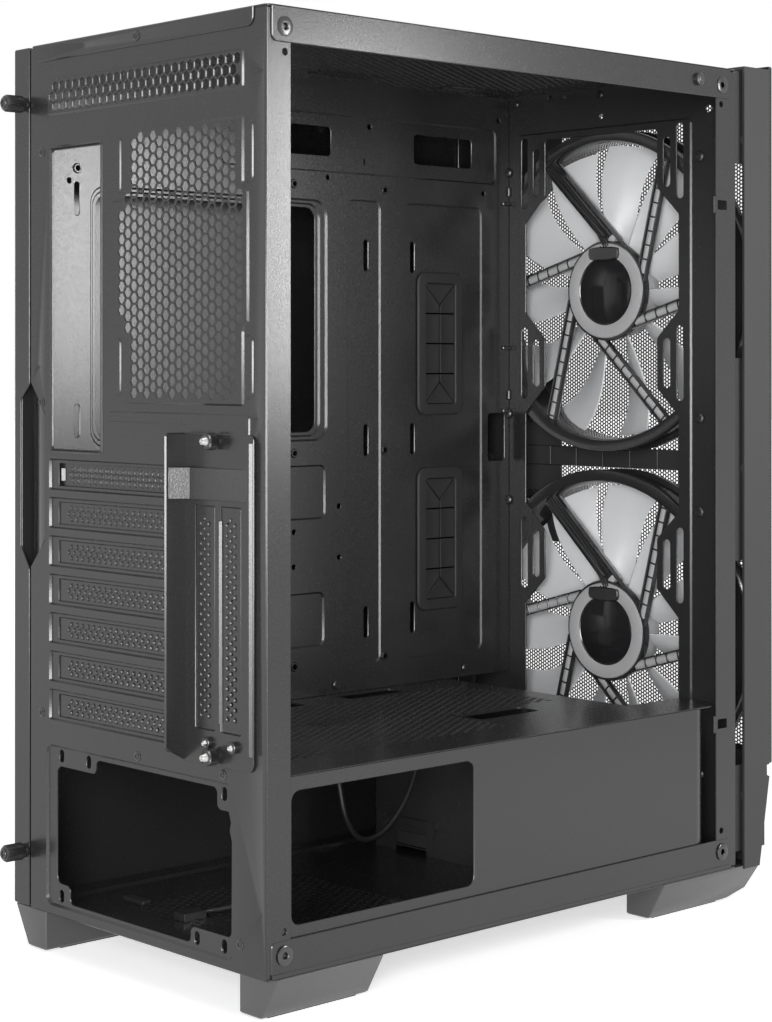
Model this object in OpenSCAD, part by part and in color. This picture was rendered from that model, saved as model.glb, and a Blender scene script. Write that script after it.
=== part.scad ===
// Desktop computer tower: a steel chassis with a plastic front, two large front fans,
// a covered power-supply bay and an open left side where a glass panel screws on.
// Millimetres, +Z up, -Y is the front. The origin lies on the ground, under the middle
// of the outline, thumbscrews included.

/* [Case] */
// Distance from the open side to the rear fan's axis
fan_off = 65.5; // [60:0.5:72]
// Height from the upper board fixings to the top of the steel body
top_room = 65.2; // [60:0.1:80]
// Depth from the board's front fixings to the front of the steel body
front_room = 111.37; // [104:0.01:130]
// Thickness of the sheet steel
sheet = 1; // [0.8:0.1:1.2]
// Free space behind the motherboard tray for cables
cable_gap = 29; // [24:1:32]
// Height of the pressed steps in the sheets
emboss = 0.8; // [0.4:0.1:0.9]
// Height of the upper and lower side rails
rail_h = 17; // [14:1:20]
// Width of the upright flanges at the open side
pillar_w = 16; // [12:1:20]
// Clearance between pieces that come apart
gap = 0.3; // [0.2:0.05:0.4]

/* [Side panel] */
// Width of the panel's folded edges
fold_w = 14.4; // [12:0.1:15]
// Seam between the folded edge and the rear face
seam = 0.6; // [0.3:0.1:1]
// Length of the finger recess in the folded edge
grip_l = 99; // [60:1:120]
// Depth of the finger recess
grip_d = 8; // [4:0.5:9]
// How far the panel slides back before it lifts off
panel_travel = 12; // [8:1:20]

/* [Feet] */
// Height of the feet, pads included
foot_h = 22; // [16:1:30]
// Width of each foot at the top
foot_w = 28; // [24:1:34]
// How far the outer side of a foot leans in
foot_lean = 12; // [4:1:14]
// Length of a rear foot
rear_foot_l = 70; // [50:1:90]
// Length of a front foot
front_foot_l = 88; // [70:1:100]
// Thickness of the rubber pads
pad_t = 1; // [0.6:0.1:2]

/* [Motherboard] */
// Distance from the rear face to the first column of board fixings
board_y = 19.3; // [17:0.1:22]
// Radius of a tapped board fixing
fixing_r = 1.4; // [1.2:0.1:1.8]
// Width of the rear connector opening
io_w = 44.45; // [44.45:0.01:45]
// Height of the rear connector opening
io_h = 158.75; // [158.75:0.01:159.5]
// Opening's near edge from the tray
io_off = 3.1; // [2.5:0.1:5]
// Pitch of the expansion slots
slot_pitch = 20.32; // [20.32:0.01:20.5]
// Height of an expansion slot opening
slot_h = 12.1; // [11.5:0.1:13]
// Width of a slot cover
cover_w = 18.4; // [17:0.1:19]

/* [Cable openings] */
// Width of a grommet's opening in the tray
grommet_w = 30; // [24:1:34]
// Height of a grommet's opening in the tray
grommet_h = 79; // [60:1:82]
// Width of a grommet's lip
lip = 5; // [3:0.5:7]

/* [Rear fan] */
// Hole spacing of the rear fan
rear_fan_fix = 105; // [105:0.5:106]
// Pitch of the round holes of the rear grille
grille_pitch = 8; // [8:0.1:10]
// Diameter of the holes of the rear grille
grille_hole = 6; // [3:0.1:6.4]

/* [Power supply bay] */
// Width of a power supply's rear face
psu_w = 150; // [150:0.5:151]
// Height of a power supply's rear face
psu_h = 86; // [86:0.5:87]
// Room between the power supply and its cover
bay_room = 4.9; // [4:0.1:8]
// Length of the side window of the cover
window_l = 124.5; // [80:0.5:140]
// Height of the side window of the cover
window_h = 64.2; // [40:0.1:68]

/* [Front fans] */
// Width left over beside the front fans
fan_room = 13; // [12:0.5:30]
// Depth of a front fan
fan_t = 24; // [20:1:24]
// Space between the two fans
fan_space = 11; // [10:0.5:16]
// How far a fan's screw holes lie outside its ring
ear_reach = 9.9; // [9:0.1:11]
// Wall of a fan's ring
fan_wall = 8; // [7:0.5:12]
// Diameter of the motor boss
boss_d = 59; // [50:1:64]
// Number of blades
blades = 9; // [5:1:11]
// Radius of the motor shaft
shaft_r = 2; // [1.5:0.1:3]
// Running clearance of the shaft
shaft_gap = 0.08; // [0.05:0.01:0.1]

/* [Front panel] */
// Gap between the steel body and the front panel
bezel_gap = 6.6; // [4:0.1:9]
// Depth of the front panel
bezel_d = 26.4; // [26:0.1:32]
// Wall of the front panel
bezel_t = 1.6; // [1.2:0.1:2]
// Height of the plain chin under the mesh
chin_h = 56; // [50:1:70]
// How far the front panel stands above the steel body
bezel_up = 4.6; // [3:0.1:8]
// How far the front panel pulls off
bezel_travel = 30; // [25:1:60]

/* [Screws] */
// How far the side panel's thumbscrews stand out
thumb_l = 15; // [12:0.5:18]
// Diameter of a thumbscrew head
thumb_d = 8; // [7:0.5:10]
// Radius of a thumbscrew's thread
thread_r = 1.7; // [1.5:0.1:2]
// How far the panel locating pin stands out
pin_proud = 3; // [1:0.5:4]

/* [Buttons and sockets] */
// Diameter of the power button
power_d = 13; // [10:0.5:16]
// Travel of the power button
power_travel = 1.5; // [1:0.1:2]
// Diameter of the reset button
reset_d = 6; // [4:0.5:8]
// Travel of the reset button
reset_travel = 1; // [0.6:0.1:1.4]

/* [Drive cage] */
// Width of a drive caddy
caddy_w = 101.6; // [101.6:0.1:102]
// Height of a drive caddy
caddy_h = 26; // [24:0.5:27]
// Length of a drive caddy
caddy_l = 136; // [120:1:140]

/* [Vent holes] */
// Pitch of the vent holes in roof, floor and bay cover
vent_pitch = 14; // [14:0.5:20]
// Diameter of those vent holes
vent_hole = 10; // [5:0.5:11]

/* [Hidden] */
$fn = 32;
cut = 1;                 // extra length of every cutting tool

// Standard board, slots and power supply: the size of the case follows from them.
slots = 7;
board_cols = [0, 154.94, 227.33];
board_rows = [0, 157.48, 281.94];
slot_drop = io_h + 4.85;                // upper board fixings to the middle of the first slot
psu_z = 4.6;
shroud_h = psu_z + psu_h + bay_room;    // top of the cover over the power supply bay
board_z = shroud_h + 5.62 + (slots - 0.5) * slot_pitch + slot_drop;
tray_x = fan_off + rear_fan_fix / 2 + 14.45 + io_w + io_off;   // board side of the tray
case_w = tray_x + cable_gap + 2 * sheet;
body_h = board_z + top_room;
body_d = board_y + board_cols[2] + front_room;
fan_d = min(case_w - fan_room, (body_h - fan_space - 55) / 2);
fan_pitch = fan_d + fan_space;
fan_fix = (fan_d / 2 + ear_reach) * sqrt(2);
fan_bore = fan_d - 2 * fan_wall;

// Case frame: X from the open side, Y = 0 at the rear face (front is negative), Z from the floor.
depth = thumb_l + body_d + bezel_gap + bezel_d;
rear_y = depth / 2 - thumb_l;
case_x = (pin_proud - case_w) / 2;
module in_case() translate([case_x, rear_y, foot_h]) children();

front_y = sheet - body_d;               // rear side of the front plate
face_x1 = case_w - fold_w - seam;       // right end of the plain rear face
panel_x = case_w - sheet;               // inner side of the side panel
ledge_x1 = panel_x - sheet - gap;       // end of the ledges under the panel's folds
ledge_in = sheet + gap;                 // the ledges lie this far under the outer faces
panel_lift = 0.5;                       // the panel clears the feet by this much
roof_z = body_h - sheet;                // underside of the roof sheet
shroud_x = 2 * sheet;                   // outer side of the bay cover's upright wall
screw_head_r = 3.2;
screw_head_h = 1.8;

// Connector opening and slots hang off the first board fixing.
io_x1 = tray_x - io_off;
io_z1 = board_z + 8.3;
slot_z0 = board_z - slot_drop;
slot_x0 = tray_x - 108;
slot_x1 = tray_x - 9;
frame_x1 = tray_x - 2;   // left end of a slot's pressed frame
tab_x = tray_x - 117.5;  // side of the tab flange that the slot covers bear on
tab_w = 3.5;
tab_out = 11;

// Power supply opening: its screw slots sit on the standard pattern.
psu_x = (face_x1 - psu_w) / 2 + 1.5;
psu_slot_w = 4;
psu_slot_l = 6.7;
psu_slots = [[6, 6], [144, 6], [30, 6], [144, 80], [120, 80], [6, 80]];

// Rear fan
rear_fan_x = fan_off;
rear_fan_z = board_z - 55.3;
rear_slot_l = 30;
rear_slot_w = 4.5;

// Front fans and the plate they hang on
fan_x = (ledge_x1 - 2) / 2;
fan_z0 = body_h / 2 + 1;
fan_zs = [fan_z0 + fan_pitch / 2, fan_z0 - fan_pitch / 2];
fan_y = -body_d;                         // rear face of the fans, against the front plate
lobe_pitch = (body_h - 42) / 3.5;
lobe_r = 61.5;           // half width of the opening's wide parts
neck_r = 45;             // half width of its narrow parts
lobe_h = 28.5;           // half height of a wide part

// Front panel
bezel_y0 = -(body_d + bezel_gap);
bezel_y1 = bezel_y0 - bezel_d;
mesh_t = 3;              // depth of the mesh panel's pan
bezel_top = body_h + bezel_up;
bezel_inner_top = bezel_top - 2;
chin_y = bezel_y1 + 2.6;
chin_low_y = bezel_y1 + 12;
bezel_z0 = -2;

// Slot bracket beside the expansion slots
bracket_x0 = 9;
bracket_z0 = shroud_h + 1.5;
bracket_z1 = slot_z0 + 24.8;
flange_out = 14;
upright_w = (tab_x - bracket_x0 - 9.1) / 3;     // opening for an upright slot cover
upright_x = [tab_x - upright_w / 2 - 7, tab_x - 1.5 * upright_w - 11.9];
upright_z0 = bracket_z0 + 17;
upright_z1 = bracket_z1 - 35;
bracket_screw_x = tab_x - upright_w - 11.2;
bracket_screws_z = [bracket_z1 - 3.6, bracket_z0 + 5.4];
upright_screw_z = upright_z0 - 6;
upright_screw_r = 1.4;

// Drive cage
cage_x1 = tray_x;
cage_x0 = cage_x1 - caddy_l - 4;
cage_y1 = front_y + 117;
cage_y0 = cage_y1 - caddy_w - 2 * (sheet + gap);
bay_h = caddy_h + 3;
cage_z1 = sheet + 2 * bay_h + 4;

steel = [0.16, 0.16, 0.165];
plastic = [0.11, 0.11, 0.115];
rubber = [0.06, 0.06, 0.065];
bright = [0.75, 0.75, 0.74];
frosted = [0.86, 0.87, 0.88];

// ---------- shared shapes ----------
// A box from its two corners.
module box(a, b) translate(a) cube(b - a);
// Flat shapes turned upright: drawn as (x, z) and ending at y, or drawn as (y, z) and starting at x.
module wall_y(y, t = sheet) translate([0, y, 0]) rotate([90, 0, 0]) linear_extrude(t) children();
module wall_x(x, t = sheet) translate([x, 0, 0]) rotate([90, 0, 90]) linear_extrude(t) children();
module rect(a, b) translate(a) square(b - a);
module round_rect(a, b, r) {
  rect([a[0] + r, a[1]], [b[0] - r, b[1]]);
  rect([a[0], a[1] + r], [b[0], b[1] - r]);
  for (x = [a[0] + r, b[0] - r], y = [a[1] + r, b[1] - r]) translate([x, y]) circle(r);
}
// An upright slot, w wide and l long over its round ends.
module slot(w, l) {
  square([w, l - w], center = true);
  for (s = [-1, 1]) translate([0, s * (l - w) / 2]) circle(d = w);
}
// Staggered round holes that fill a rectangle.
module holes(a, b, pitch, d) {
  step = pitch * sin(60);
  nx = floor((b[0] - a[0] - d) / step);
  ny = floor((b[1] - a[1] - d - pitch / 2) / pitch);
  mx = (b[0] - a[0] - nx * step) / 2;
  my = (b[1] - a[1] - (ny + 0.5) * pitch) / 2;
  for (i = [0:nx], j = [0:ny])
    translate([a[0] + mx + i * step, a[1] + my + (j + (i % 2) / 2) * pitch]) circle(d = d, $fn = 16);
}

// ---------- steel body ----------
module psu_opening() {
  x1 = psu_x + psu_w - 3.5;
  x0 = psu_x + 2;
  z0 = psu_z + 3;
  z1 = psu_z + psu_h - 4;
  difference() {
    round_rect([x0, z0], [x1, z1], 5);
    round_rect([x1 - 33, z1 - 7.5], [x1 + 9, z1 + 9], 3);
    round_rect([x0 - 9, z1 - 9.5], [x0 + 12.5, z1 + 9], 3);
    round_rect([x1 - 10, z0 - 9], [x1 + 9, z0 + 9.5], 3);
    round_rect([x0 - 9, z0 - 9], [x0 + 33, z0 + 8], 3);
  }
}
vent_z = [body_h - 38, body_h - 20];
vent_x = [17, tray_x - 1];
grille_x = [fan_off - 46.5, fan_off + 52.5];
grille_z = [board_z - 122.8, board_z + 11.2];
module rear_openings() {
  rect([io_x1 - io_w, io_z1 - io_h], [io_x1, io_z1]);
  holes([grille_x[0], grille_z[0]], [grille_x[1] - rear_slot_w, grille_z[1]], grille_pitch, grille_hole);
  for (sx = [-1, 1], sz = [-1, 1])
    translate([rear_fan_x + sx * rear_fan_fix / 2, rear_fan_z + sz * rear_fan_fix / 2]) slot(rear_slot_w, rear_slot_l);
  holes([vent_x[0] + 2, vent_z[0]], [vent_x[1] - 2, vent_z[1]], grille_pitch, grille_hole);
  for (k = [0:slots - 1]) translate([0, slot_z0 - k * slot_pitch])
    rect([slot_x0, -slot_h / 2], [slot_x1, slot_h / 2]);
  rect([tab_x, slot_z0 - (slots - 0.5) * slot_pitch], [tab_x + tab_w, slot_z0 + slot_pitch / 2]);
  for (x = upright_x) {
    rect([x - upright_w / 2, upright_z0], [x + upright_w / 2, upright_z1]);
    translate([x - 3, upright_screw_z]) circle(upright_screw_r + gap);
  }
  psu_opening();
  for (p = psu_slots) translate([psu_x + p[0], psu_z + p[1]]) slot(psu_slot_w, psu_slot_l);
}
// Fields round the vent and the grille that are pressed inwards.
module rear_recesses(m) {
  rect([vent_x[0] + m, vent_z[0] - 1 + m], [vent_x[1] - m, vent_z[1] + 1 - m]);
  rect([grille_x[0] - 3 + m, grille_z[0] - 2 + m], [grille_x[1] - 4 - m, grille_z[1] + 2 - m]);
  rect([grille_x[0] - 6 + m, grille_z[0] + 36 + m], [grille_x[1] + 3 - m, grille_z[1] - 36 - m]);
}
module rear_panel() color(steel) in_case() {
  wall_y(0) difference() {
    rect([sheet, 0], [face_x1, roof_z]);
    rear_recesses(1);
    rear_openings();
    for (z = bracket_screws_z) translate([bracket_screw_x, z]) circle(thread_r + gap);
  }
  wall_y(-emboss) difference() {
    rear_recesses(0);
    rear_openings();
  }
  // step and ledge that the side panel's fold covers
  box([face_x1 - sheet, -ledge_in - sheet, 3 * sheet], [face_x1, -sheet / 2, roof_z - 2 * sheet]);
  difference() {
    box([face_x1 - sheet, -ledge_in - sheet, 3 * sheet], [ledge_x1, -ledge_in, roof_z - 2 * sheet]);
    for (z = panel_screws_z) translate([panel_screw_x, 0, z]) rotate([90, 0, 0])
      cylinder(r = thread_r + gap, h = 4 * ledge_in);
  }
  // upright flange at the open side
  difference() {
    box([sheet, -pillar_w, sheet], [2 * sheet, -sheet / 2, roof_z]);
    insert_seats();
  }
}
module floor_pan() color(steel) in_case() {
  difference() {
    box([0, front_y, 0], [face_x1, -sheet, sheet]);
    translate([0, 0, -cut]) linear_extrude(sheet + 2 * cut) holes([75, -155], [160, -36], vent_pitch, vent_hole);
  }
  difference() {
    box([0, 6 - body_d, 0], [sheet, -3, rail_h + sheet]);
    insert_seats();
  }
  box([face_x1 - sheet, front_y, 0], [face_x1, -ledge_in - sheet, 3 * sheet]);
  box([face_x1 - sheet, front_y, panel_lift + ledge_in], [ledge_x1, -ledge_in - sheet, panel_lift + ledge_in + sheet]);
}
flange_x = [9.6, 191];
flange_h = 9.5;
module roof_panel() color(steel) in_case() {
  difference() {
    box([0, front_y, roof_z], [face_x1, 0, body_h]);
    translate([0, 0, roof_z - cut]) linear_extrude(sheet + 2 * cut)
      holes([28, 31 - body_d], [tray_x - 8, -50], vent_pitch, vent_hole);
  }
  // flange folded down over the rear panel
  box([flange_x[0], 0, body_h - flange_h], [flange_x[1], sheet, body_h]);
  difference() {
    box([0, 6 - body_d, body_h - rail_h], [sheet, -3, body_h]);
    insert_seats();
  }
  low = roof_z - ledge_in - panel_lift;
  box([face_x1 - sheet, front_y, low], [face_x1, -ledge_in - sheet, body_h]);
  box([face_x1 - sheet, front_y, low], [ledge_x1, -ledge_in - sheet, low + sheet]);
}
// Opening for the fans: wide parts joined by necks, with slots for other fan sizes beside it.
module front_opening() {
  half = lobe_pitch / 2;
  right = [[neck_r, -half], [neck_r, -neck_r], [lobe_r, -lobe_h], [lobe_r, lobe_h], [neck_r, neck_r], [neck_r, half]];
  left = [for (i = [len(right) - 1:-1:0]) [-right[i][0], right[i][1]]];
  translate([fan_x, fan_z0]) {
    for (k = [-1:1]) translate([0, k * lobe_pitch]) polygon(concat(right, left));
    for (s = [-1, 1]) translate([0, s * 1.5 * lobe_pitch]) square([2 * neck_r, 40], center = true);
    for (k = [-1.5:1.5], s = [-1, 1]) {
      translate([s * 52.5, k * lobe_pitch]) slot(5, 30);
      translate([s * 62.5, k * lobe_pitch]) slot(5, 45);
    }
  }
}
module fan_holes(r) for (z = fan_zs, sx = [-1, 1], sz = [-1, 1])
  translate([fan_x + sx * fan_fix / 2, z + sz * fan_fix / 2]) circle(r);
clip_xs = [12, case_w - 14];
clip_zs = [40, body_h / 2, body_h - 40];
clip_r = 3;
lead_hole = [case_w - 21, body_h - 24];
lead_hole_r = 5;
module front_frame() color(steel) in_case() {
  field = [[fan_x - 71, 30], [fan_x + 68, body_h - 25]];
  wall_y(front_y) difference() {
    rect([2 * sheet, 0], [ledge_x1, body_h]);
    rect(field[0] + [1, 1], field[1] - [1, 1]);
    fan_holes(thread_r + gap);
    translate([lead_hole[0], lead_hole[1]]) circle(lead_hole_r);
    for (x = clip_xs, z = clip_zs) translate([x, z]) circle(clip_r + gap);
  }
  // middle field pressed towards the inside of the case
  wall_y(front_y + emboss) difference() {
    rect(field[0], field[1]);
    front_opening();
  }
  difference() {
    box([sheet, -body_d, sheet], [2 * sheet, front_y + pillar_w, roof_z]);
    insert_seats();
  }
  box([ledge_x1, -body_d, 3 * sheet], [ledge_x1 + sheet, front_y + pillar_w, roof_z - 2 * sheet]);
}
recesses = [                       // [rear end, front end, bottom, top], of y and z
  [-120, front_y + 13, board_z + 8.2, body_h - 22],          // band along the top
  [-28, -200, board_z - 150.8, board_z - 8.3],               // rim of the cooler opening
  [-110, -199, board_z - 196.8, board_z - 164.8],
  [-110, -198, shroud_h + 29.5, shroud_h + 61.5],
  [front_y + 141.5, front_y + 114, shroud_h + 15.5, board_z - 6.8],
  [front_y + 93.5, front_y + 26, shroud_h + 15.5, board_z - 6.8]];
grommet_y = front_y + 62.4;
grommet_zs = [board_z - 92.8, board_z - 213.5];
module tray_openings() {
  round_rect([-192, board_z - 145.3], [-33, board_z - 13.3], 6);
  round_rect([-204, body_h - 47.2], [-160, body_h - 30], 2);
  round_rect([front_y + 34.6, body_h - 47.7], [front_y + 85, body_h - 29.7], 2);
  rect([front_y + 5.5, board_z - 166.8], [front_y + 20.5, board_z - 136.8]);
  for (y = [front_y + 125.5, front_y + 86.5], z = [board_z - 40, board_z - 151.3, board_z - 260.8])
    translate([y, z]) slot(3.5, 19);
  for (z = [board_z - 16.3, board_z - 135.8]) translate([-board_y, z]) slot(3.5, 18);
  for (c = board_cols, r = board_rows) translate([-board_y - c, board_z - r]) circle(fixing_r);
  // room for the heads of the fan screws
  for (z = fan_zs, s = [-1, 1]) translate([front_y, z + s * fan_fix / 2])
    rect([-cut, -screw_head_r - 1], [screw_head_h + 1, screw_head_r + 1]);
  for (z = grommet_zs) translate([grommet_y, z])
    rect([-grommet_w / 2, -grommet_h / 2], [grommet_w / 2, grommet_h / 2]);
}
module tray_sheet() {
  wall_x(tray_x) difference() {
    rect([front_y, shroud_h], [-sheet, roof_z]);
    for (r = recesses) rect([r[1] + 1, r[2] + 1], [r[0] - 1, r[3] - 1]);
    tray_openings();
  }
  wall_x(tray_x + emboss) difference() {
    for (r = recesses) rect([r[1], r[2]], [r[0], r[3]]);
    tray_openings();
  }
  // collars drawn out of the sheet, tapped for the board's screws
  wall_x(tray_x - 1, 1 + sheet) for (c = board_cols, r = board_rows)
    translate([-board_y - c, board_z - r]) difference() {
      circle(2 * fixing_r);
      circle(fixing_r);
    }
}
// The tray is three sheets seam-welded edge to edge: board area, front wing and band along the top.
wing_y = front_y + 104;
band_z = board_z + 4.7;
module tray_part(lo, hi) color(steel) in_case() intersection() {
  tray_sheet();
  box([tray_x - 5, lo[0], lo[1]], [tray_x + 5, hi[0], hi[1]]);
}
module motherboard_tray() tray_part([wing_y, shroud_h], [-sheet, band_z]);
module tray_front_wing() tray_part([front_y, shroud_h], [wing_y, band_z]);
module tray_top_band() tray_part([front_y, band_z], [-sheet, roof_z]);
cover_front = front_y + 57;      // the bay cover stops here to leave room behind the fans
cover_strip = 34;        // width of the strip that goes on to the front
strip_front = front_y + 12;
bend_r = 12;
module bay_cover() color(steel) in_case() {
  wall_end = strip_front + 23;
  translate([0, 0, shroud_h - sheet]) linear_extrude(sheet) difference() {
    union() {
      rect([shroud_x, cover_front], [tray_x + sheet, -sheet]);
      rect([shroud_x, strip_front + bend_r], [cover_strip, cover_front]);
      rect([shroud_x + bend_r, strip_front], [cover_strip, strip_front + bend_r]);
      translate([shroud_x + bend_r, strip_front + bend_r]) circle(bend_r);
    }
    holes([34, -198], [tray_x - 24, -16], vent_pitch, vent_hole);
    holes([80, cover_front + 14], [tray_x - 24, -198], vent_pitch, vent_hole);
    for (y = [-223, -143]) round_rect([tray_x - 21, y - 23], [tray_x - 5, y + 23], 3);
    round_rect([56, -251], [74, -203], 3);
  }
  difference() {
    wall_x(shroud_x) difference() {
      rect([wall_end, sheet], [-sheet, shroud_h]);
      round_rect([-17 - window_l, shroud_h - 7.8 - window_h], [-17, shroud_h - 7.8], 5);
    }
    insert_seats();
  }
  // the upright wall turns inwards at its front end
  translate([shroud_x + bend_r, wall_end, sheet]) linear_extrude(shroud_h - sheet) {
    intersection() {
      difference() {
        circle(bend_r);
        circle(bend_r - sheet);
      }
      translate([-bend_r, -bend_r]) square(bend_r);
    }
    translate([0, -bend_r]) square([cover_strip - shroud_x - bend_r, sheet]);
  }
}
panel_screw_x = (face_x1 + panel_x) / 2 - 3;
panel_screws_z = [body_h - 31, 30];
module right_side_panel() color(steel) in_case() {
  z0 = panel_lift;
  z1 = body_h - panel_lift;
  x0 = case_w - fold_w;
  y0 = front_y + 2 * gap;
  mid = body_h / 2;
  box([panel_x, y0, z0], [case_w, 0, z1]);
  for (z = [z0, z1 - sheet]) box([x0, y0, z], [panel_x, -sheet, z + sheet]);
  wall_y(0) difference() {
    rect([x0, z0], [panel_x, z1]);
    polygon([[x0 - cut, mid - grip_l / 2], [x0 + grip_d, mid - grip_l / 2 + 12], [x0 + grip_d, mid + grip_l / 2 - 8],
      [x0, mid + grip_l / 2], [x0 - cut, mid + grip_l / 2]]);
    for (z = panel_screws_z) translate([panel_screw_x, z]) circle(thread_r + gap);
  }
}
// Thumbscrew along +Y: thread, collar, barrel and a ringed end.
module thumbscrew(l, d, thread_l) rotate([-90, 0, 0]) {
  translate([0, 0, -thread_l]) cylinder(r = thread_r, h = thread_l + 1);
  cylinder(d = d * 0.8, h = 2);
  translate([0, 0, 1.5]) cylinder(d = d, h = l - 2.5);
  translate([0, 0, l - 1.5]) cylinder(d = d * 0.6, h = 1.5);
}
module panel_thumbscrew(i) color(plastic) in_case()
  translate([panel_screw_x, 0, panel_screws_z[i]]) thumbscrew(thumb_l, thumb_d, ledge_in + 2 * sheet);
module panel_thumbscrew_upper() panel_thumbscrew(0);
module panel_thumbscrew_lower() panel_thumbscrew(1);

// ---------- expansion slots ----------
cover_t = 0.9;
blank_in = 0.2;          // a cover's raised middle lies this far under the outer face
module cover_dots() for (i = [0:6], j = [-1:1])
  translate([13 * i + 6.5 * (j == 0 ? 1 : 0), 3 * j]) circle(1.3, $fn = 16);
module slot_cover(k) color(steel) in_case() translate([0, 0, slot_z0 - k * slot_pitch]) {
  wall_y(-sheet, cover_t) difference() {
    rect([tab_x + cover_t, -cover_w / 2], [frame_x1, cover_w / 2]);
    translate([slot_x0 + 9, 0]) cover_dots();
  }
  // the first cover is a loose flat one, the others fill their openings
  if (k > 0) wall_y(-blank_in, sheet) difference() {
    rect([slot_x0 + gap, -slot_h / 2 + gap], [slot_x1 - gap, slot_h / 2 - gap]);
    translate([slot_x0 + 9, 0]) cover_dots();
  }
  // tab that bears on the bracket's flange
  box([tab_x, -sheet - cover_t, -cover_w / 2], [tab_x + cover_t, tab_out, cover_w / 2]);
}
module slot_cover_1() slot_cover(0);
module slot_cover_2() slot_cover(1);
module slot_cover_3() slot_cover(2);
module slot_cover_4() slot_cover(3);
module slot_cover_5() slot_cover(4);
module slot_cover_6() slot_cover(5);
module slot_cover_7() slot_cover(6);

module slot_bracket() color(steel) in_case() {
  wall_y(sheet) difference() {
    rect([bracket_x0, bracket_z0], [tab_x, bracket_z1]);
    for (x = upright_x) {
      rect([x - upright_w / 2, upright_z0], [x + upright_w / 2, upright_z1]);
      translate([x - 3, upright_screw_z]) circle(upright_screw_r + gap);
    }
    for (z = bracket_screws_z) translate([bracket_screw_x, z]) circle(thread_r + gap);
  }
  box([tab_x - sheet, 0, bracket_z0], [tab_x, flange_out, bracket_z1]);
  // bridge of bent sheet that braces the flange
  rise = 4;
  x0 = bracket_x0 + 4;
  x1 = tab_x - sheet / 2;
  slant = flange_out - 0.5 - rise;
  translate([0, 0, upright_z1 + 5]) linear_extrude(15) polygon([[x0, sheet], [x0, rise], [x1 - slant, rise],
    [x1, rise + slant], [x1, rise + slant - 1.4], [x1 - slant + 0.4, rise - sheet], [x0 + sheet, rise - sheet],
    [x0 + sheet, sheet]]);
  box([bracket_x0, sheet / 2, bracket_z0 + 8], [bracket_x0 + 2.5, 3, bracket_z1 - 4]);
}
module upright_dots() translate([0, upright_z0 + 8]) rotate(90) cover_dots();
module upright_cover(i) color(steel) in_case() translate([upright_x[i], 0, 0]) {
  strip_w = upright_w + 3.4;
  blank_w = upright_w - 2 * gap;
  wall_y(-sheet, cover_t) difference() {
    rect([-strip_w / 2, upright_screw_z - 3], [strip_w / 2, upright_z1 + 4]);
    translate([-3, upright_screw_z]) circle(upright_screw_r + gap);
    upright_dots();
  }
  wall_y(sheet - blank_in, 2 * sheet) difference() {
    rect([-blank_w / 2, upright_z0 + gap], [blank_w / 2, upright_z1 - gap]);
    upright_dots();
  }
}
module upright_cover_1() upright_cover(0);
module upright_cover_2() upright_cover(1);
module upright_cover_screws() color(bright) in_case()
  for (x = upright_x) translate([x - 3, sheet, upright_screw_z]) rotate([-90, 0, 0]) {
    cylinder(r = 2.4, h = 4);
    translate([0, 0, -3 * sheet - 1]) cylinder(r = upright_screw_r, h = 3 * sheet + 2);
  }
module bracket_thumbscrew(i) color(bright) in_case()
  translate([bracket_screw_x, sheet, bracket_screws_z[i]]) thumbscrew(10, thumb_d, 3 * sheet);
module bracket_thumbscrew_upper() bracket_thumbscrew(0);
module bracket_thumbscrew_lower() bracket_thumbscrew(1);

// ---------- fixings of the steel body ----------
insert_r = 4.2;
insert_bore = 1.6;
insert_ys = [-11, -344];
insert_zs = [11, body_h - 10];
insert_barrel = 3;
insert_l = 5;
module at_inserts() for (y = insert_ys, z = insert_zs) translate([0, y, z]) rotate([0, 90, 0]) children();
// Holes for the inserts in rails and flanges.
module insert_seats() at_inserts() translate([0, 0, -cut]) cylinder(r = insert_barrel + gap, h = 5 * sheet);
module glass_inserts() color(plastic) in_case() at_inserts() difference() {
  union() {
    translate([0, 0, -0.6]) cylinder(r = insert_r + 0.6, h = 0.6);
    translate([0, 0, -0.3]) cylinder(r = insert_barrel, h = insert_l);
  }
  translate([0, 0, -cut]) cylinder(r = insert_bore, h = insert_l + 2 * cut);
}
module locating_pin() color(plastic) in_case() translate([0, -322, body_h - 8.5]) rotate([0, -90, 0]) {
  cylinder(r = 3.6, h = pin_proud - 0.8);
  cylinder(r = 2.4, h = pin_proud);
}
rivets = [[face_x1 - 11.1, board_z + 7.7], [face_x1 - 10.7, board_z - 125.6], [face_x1 - 11, shroud_h + 10.5],
  [psu_x + 76.5, shroud_h - 1.9], [psu_x + 8.5, shroud_h - 1.9], [psu_x - 4.5, psu_z + 9.7]];
module rivet() {
  cylinder(r = 2.6, h = 0.6);
  cylinder(r = 1.6, h = 1);
}
module chassis_rivets() color(plastic) in_case() {
  for (p = rivets) translate([p[0], 0, p[1]]) rotate([-90, 0, 0]) rivet();
  translate([face_x1 / 2 + 3, sheet, body_h - 4.8]) rotate([-90, 0, 0]) rivet();
}
module tray_screws() color(bright) in_case() {
  for (y = [-118.5, -207, front_y + 42]) translate([tray_x, y, shroud_h + 5.6]) rotate([0, -90, 0]) {
    cylinder(r = screw_head_r - 0.6, h = 1.2);
    cylinder(r = 1.4, h = 1.8);
  }
}
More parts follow.
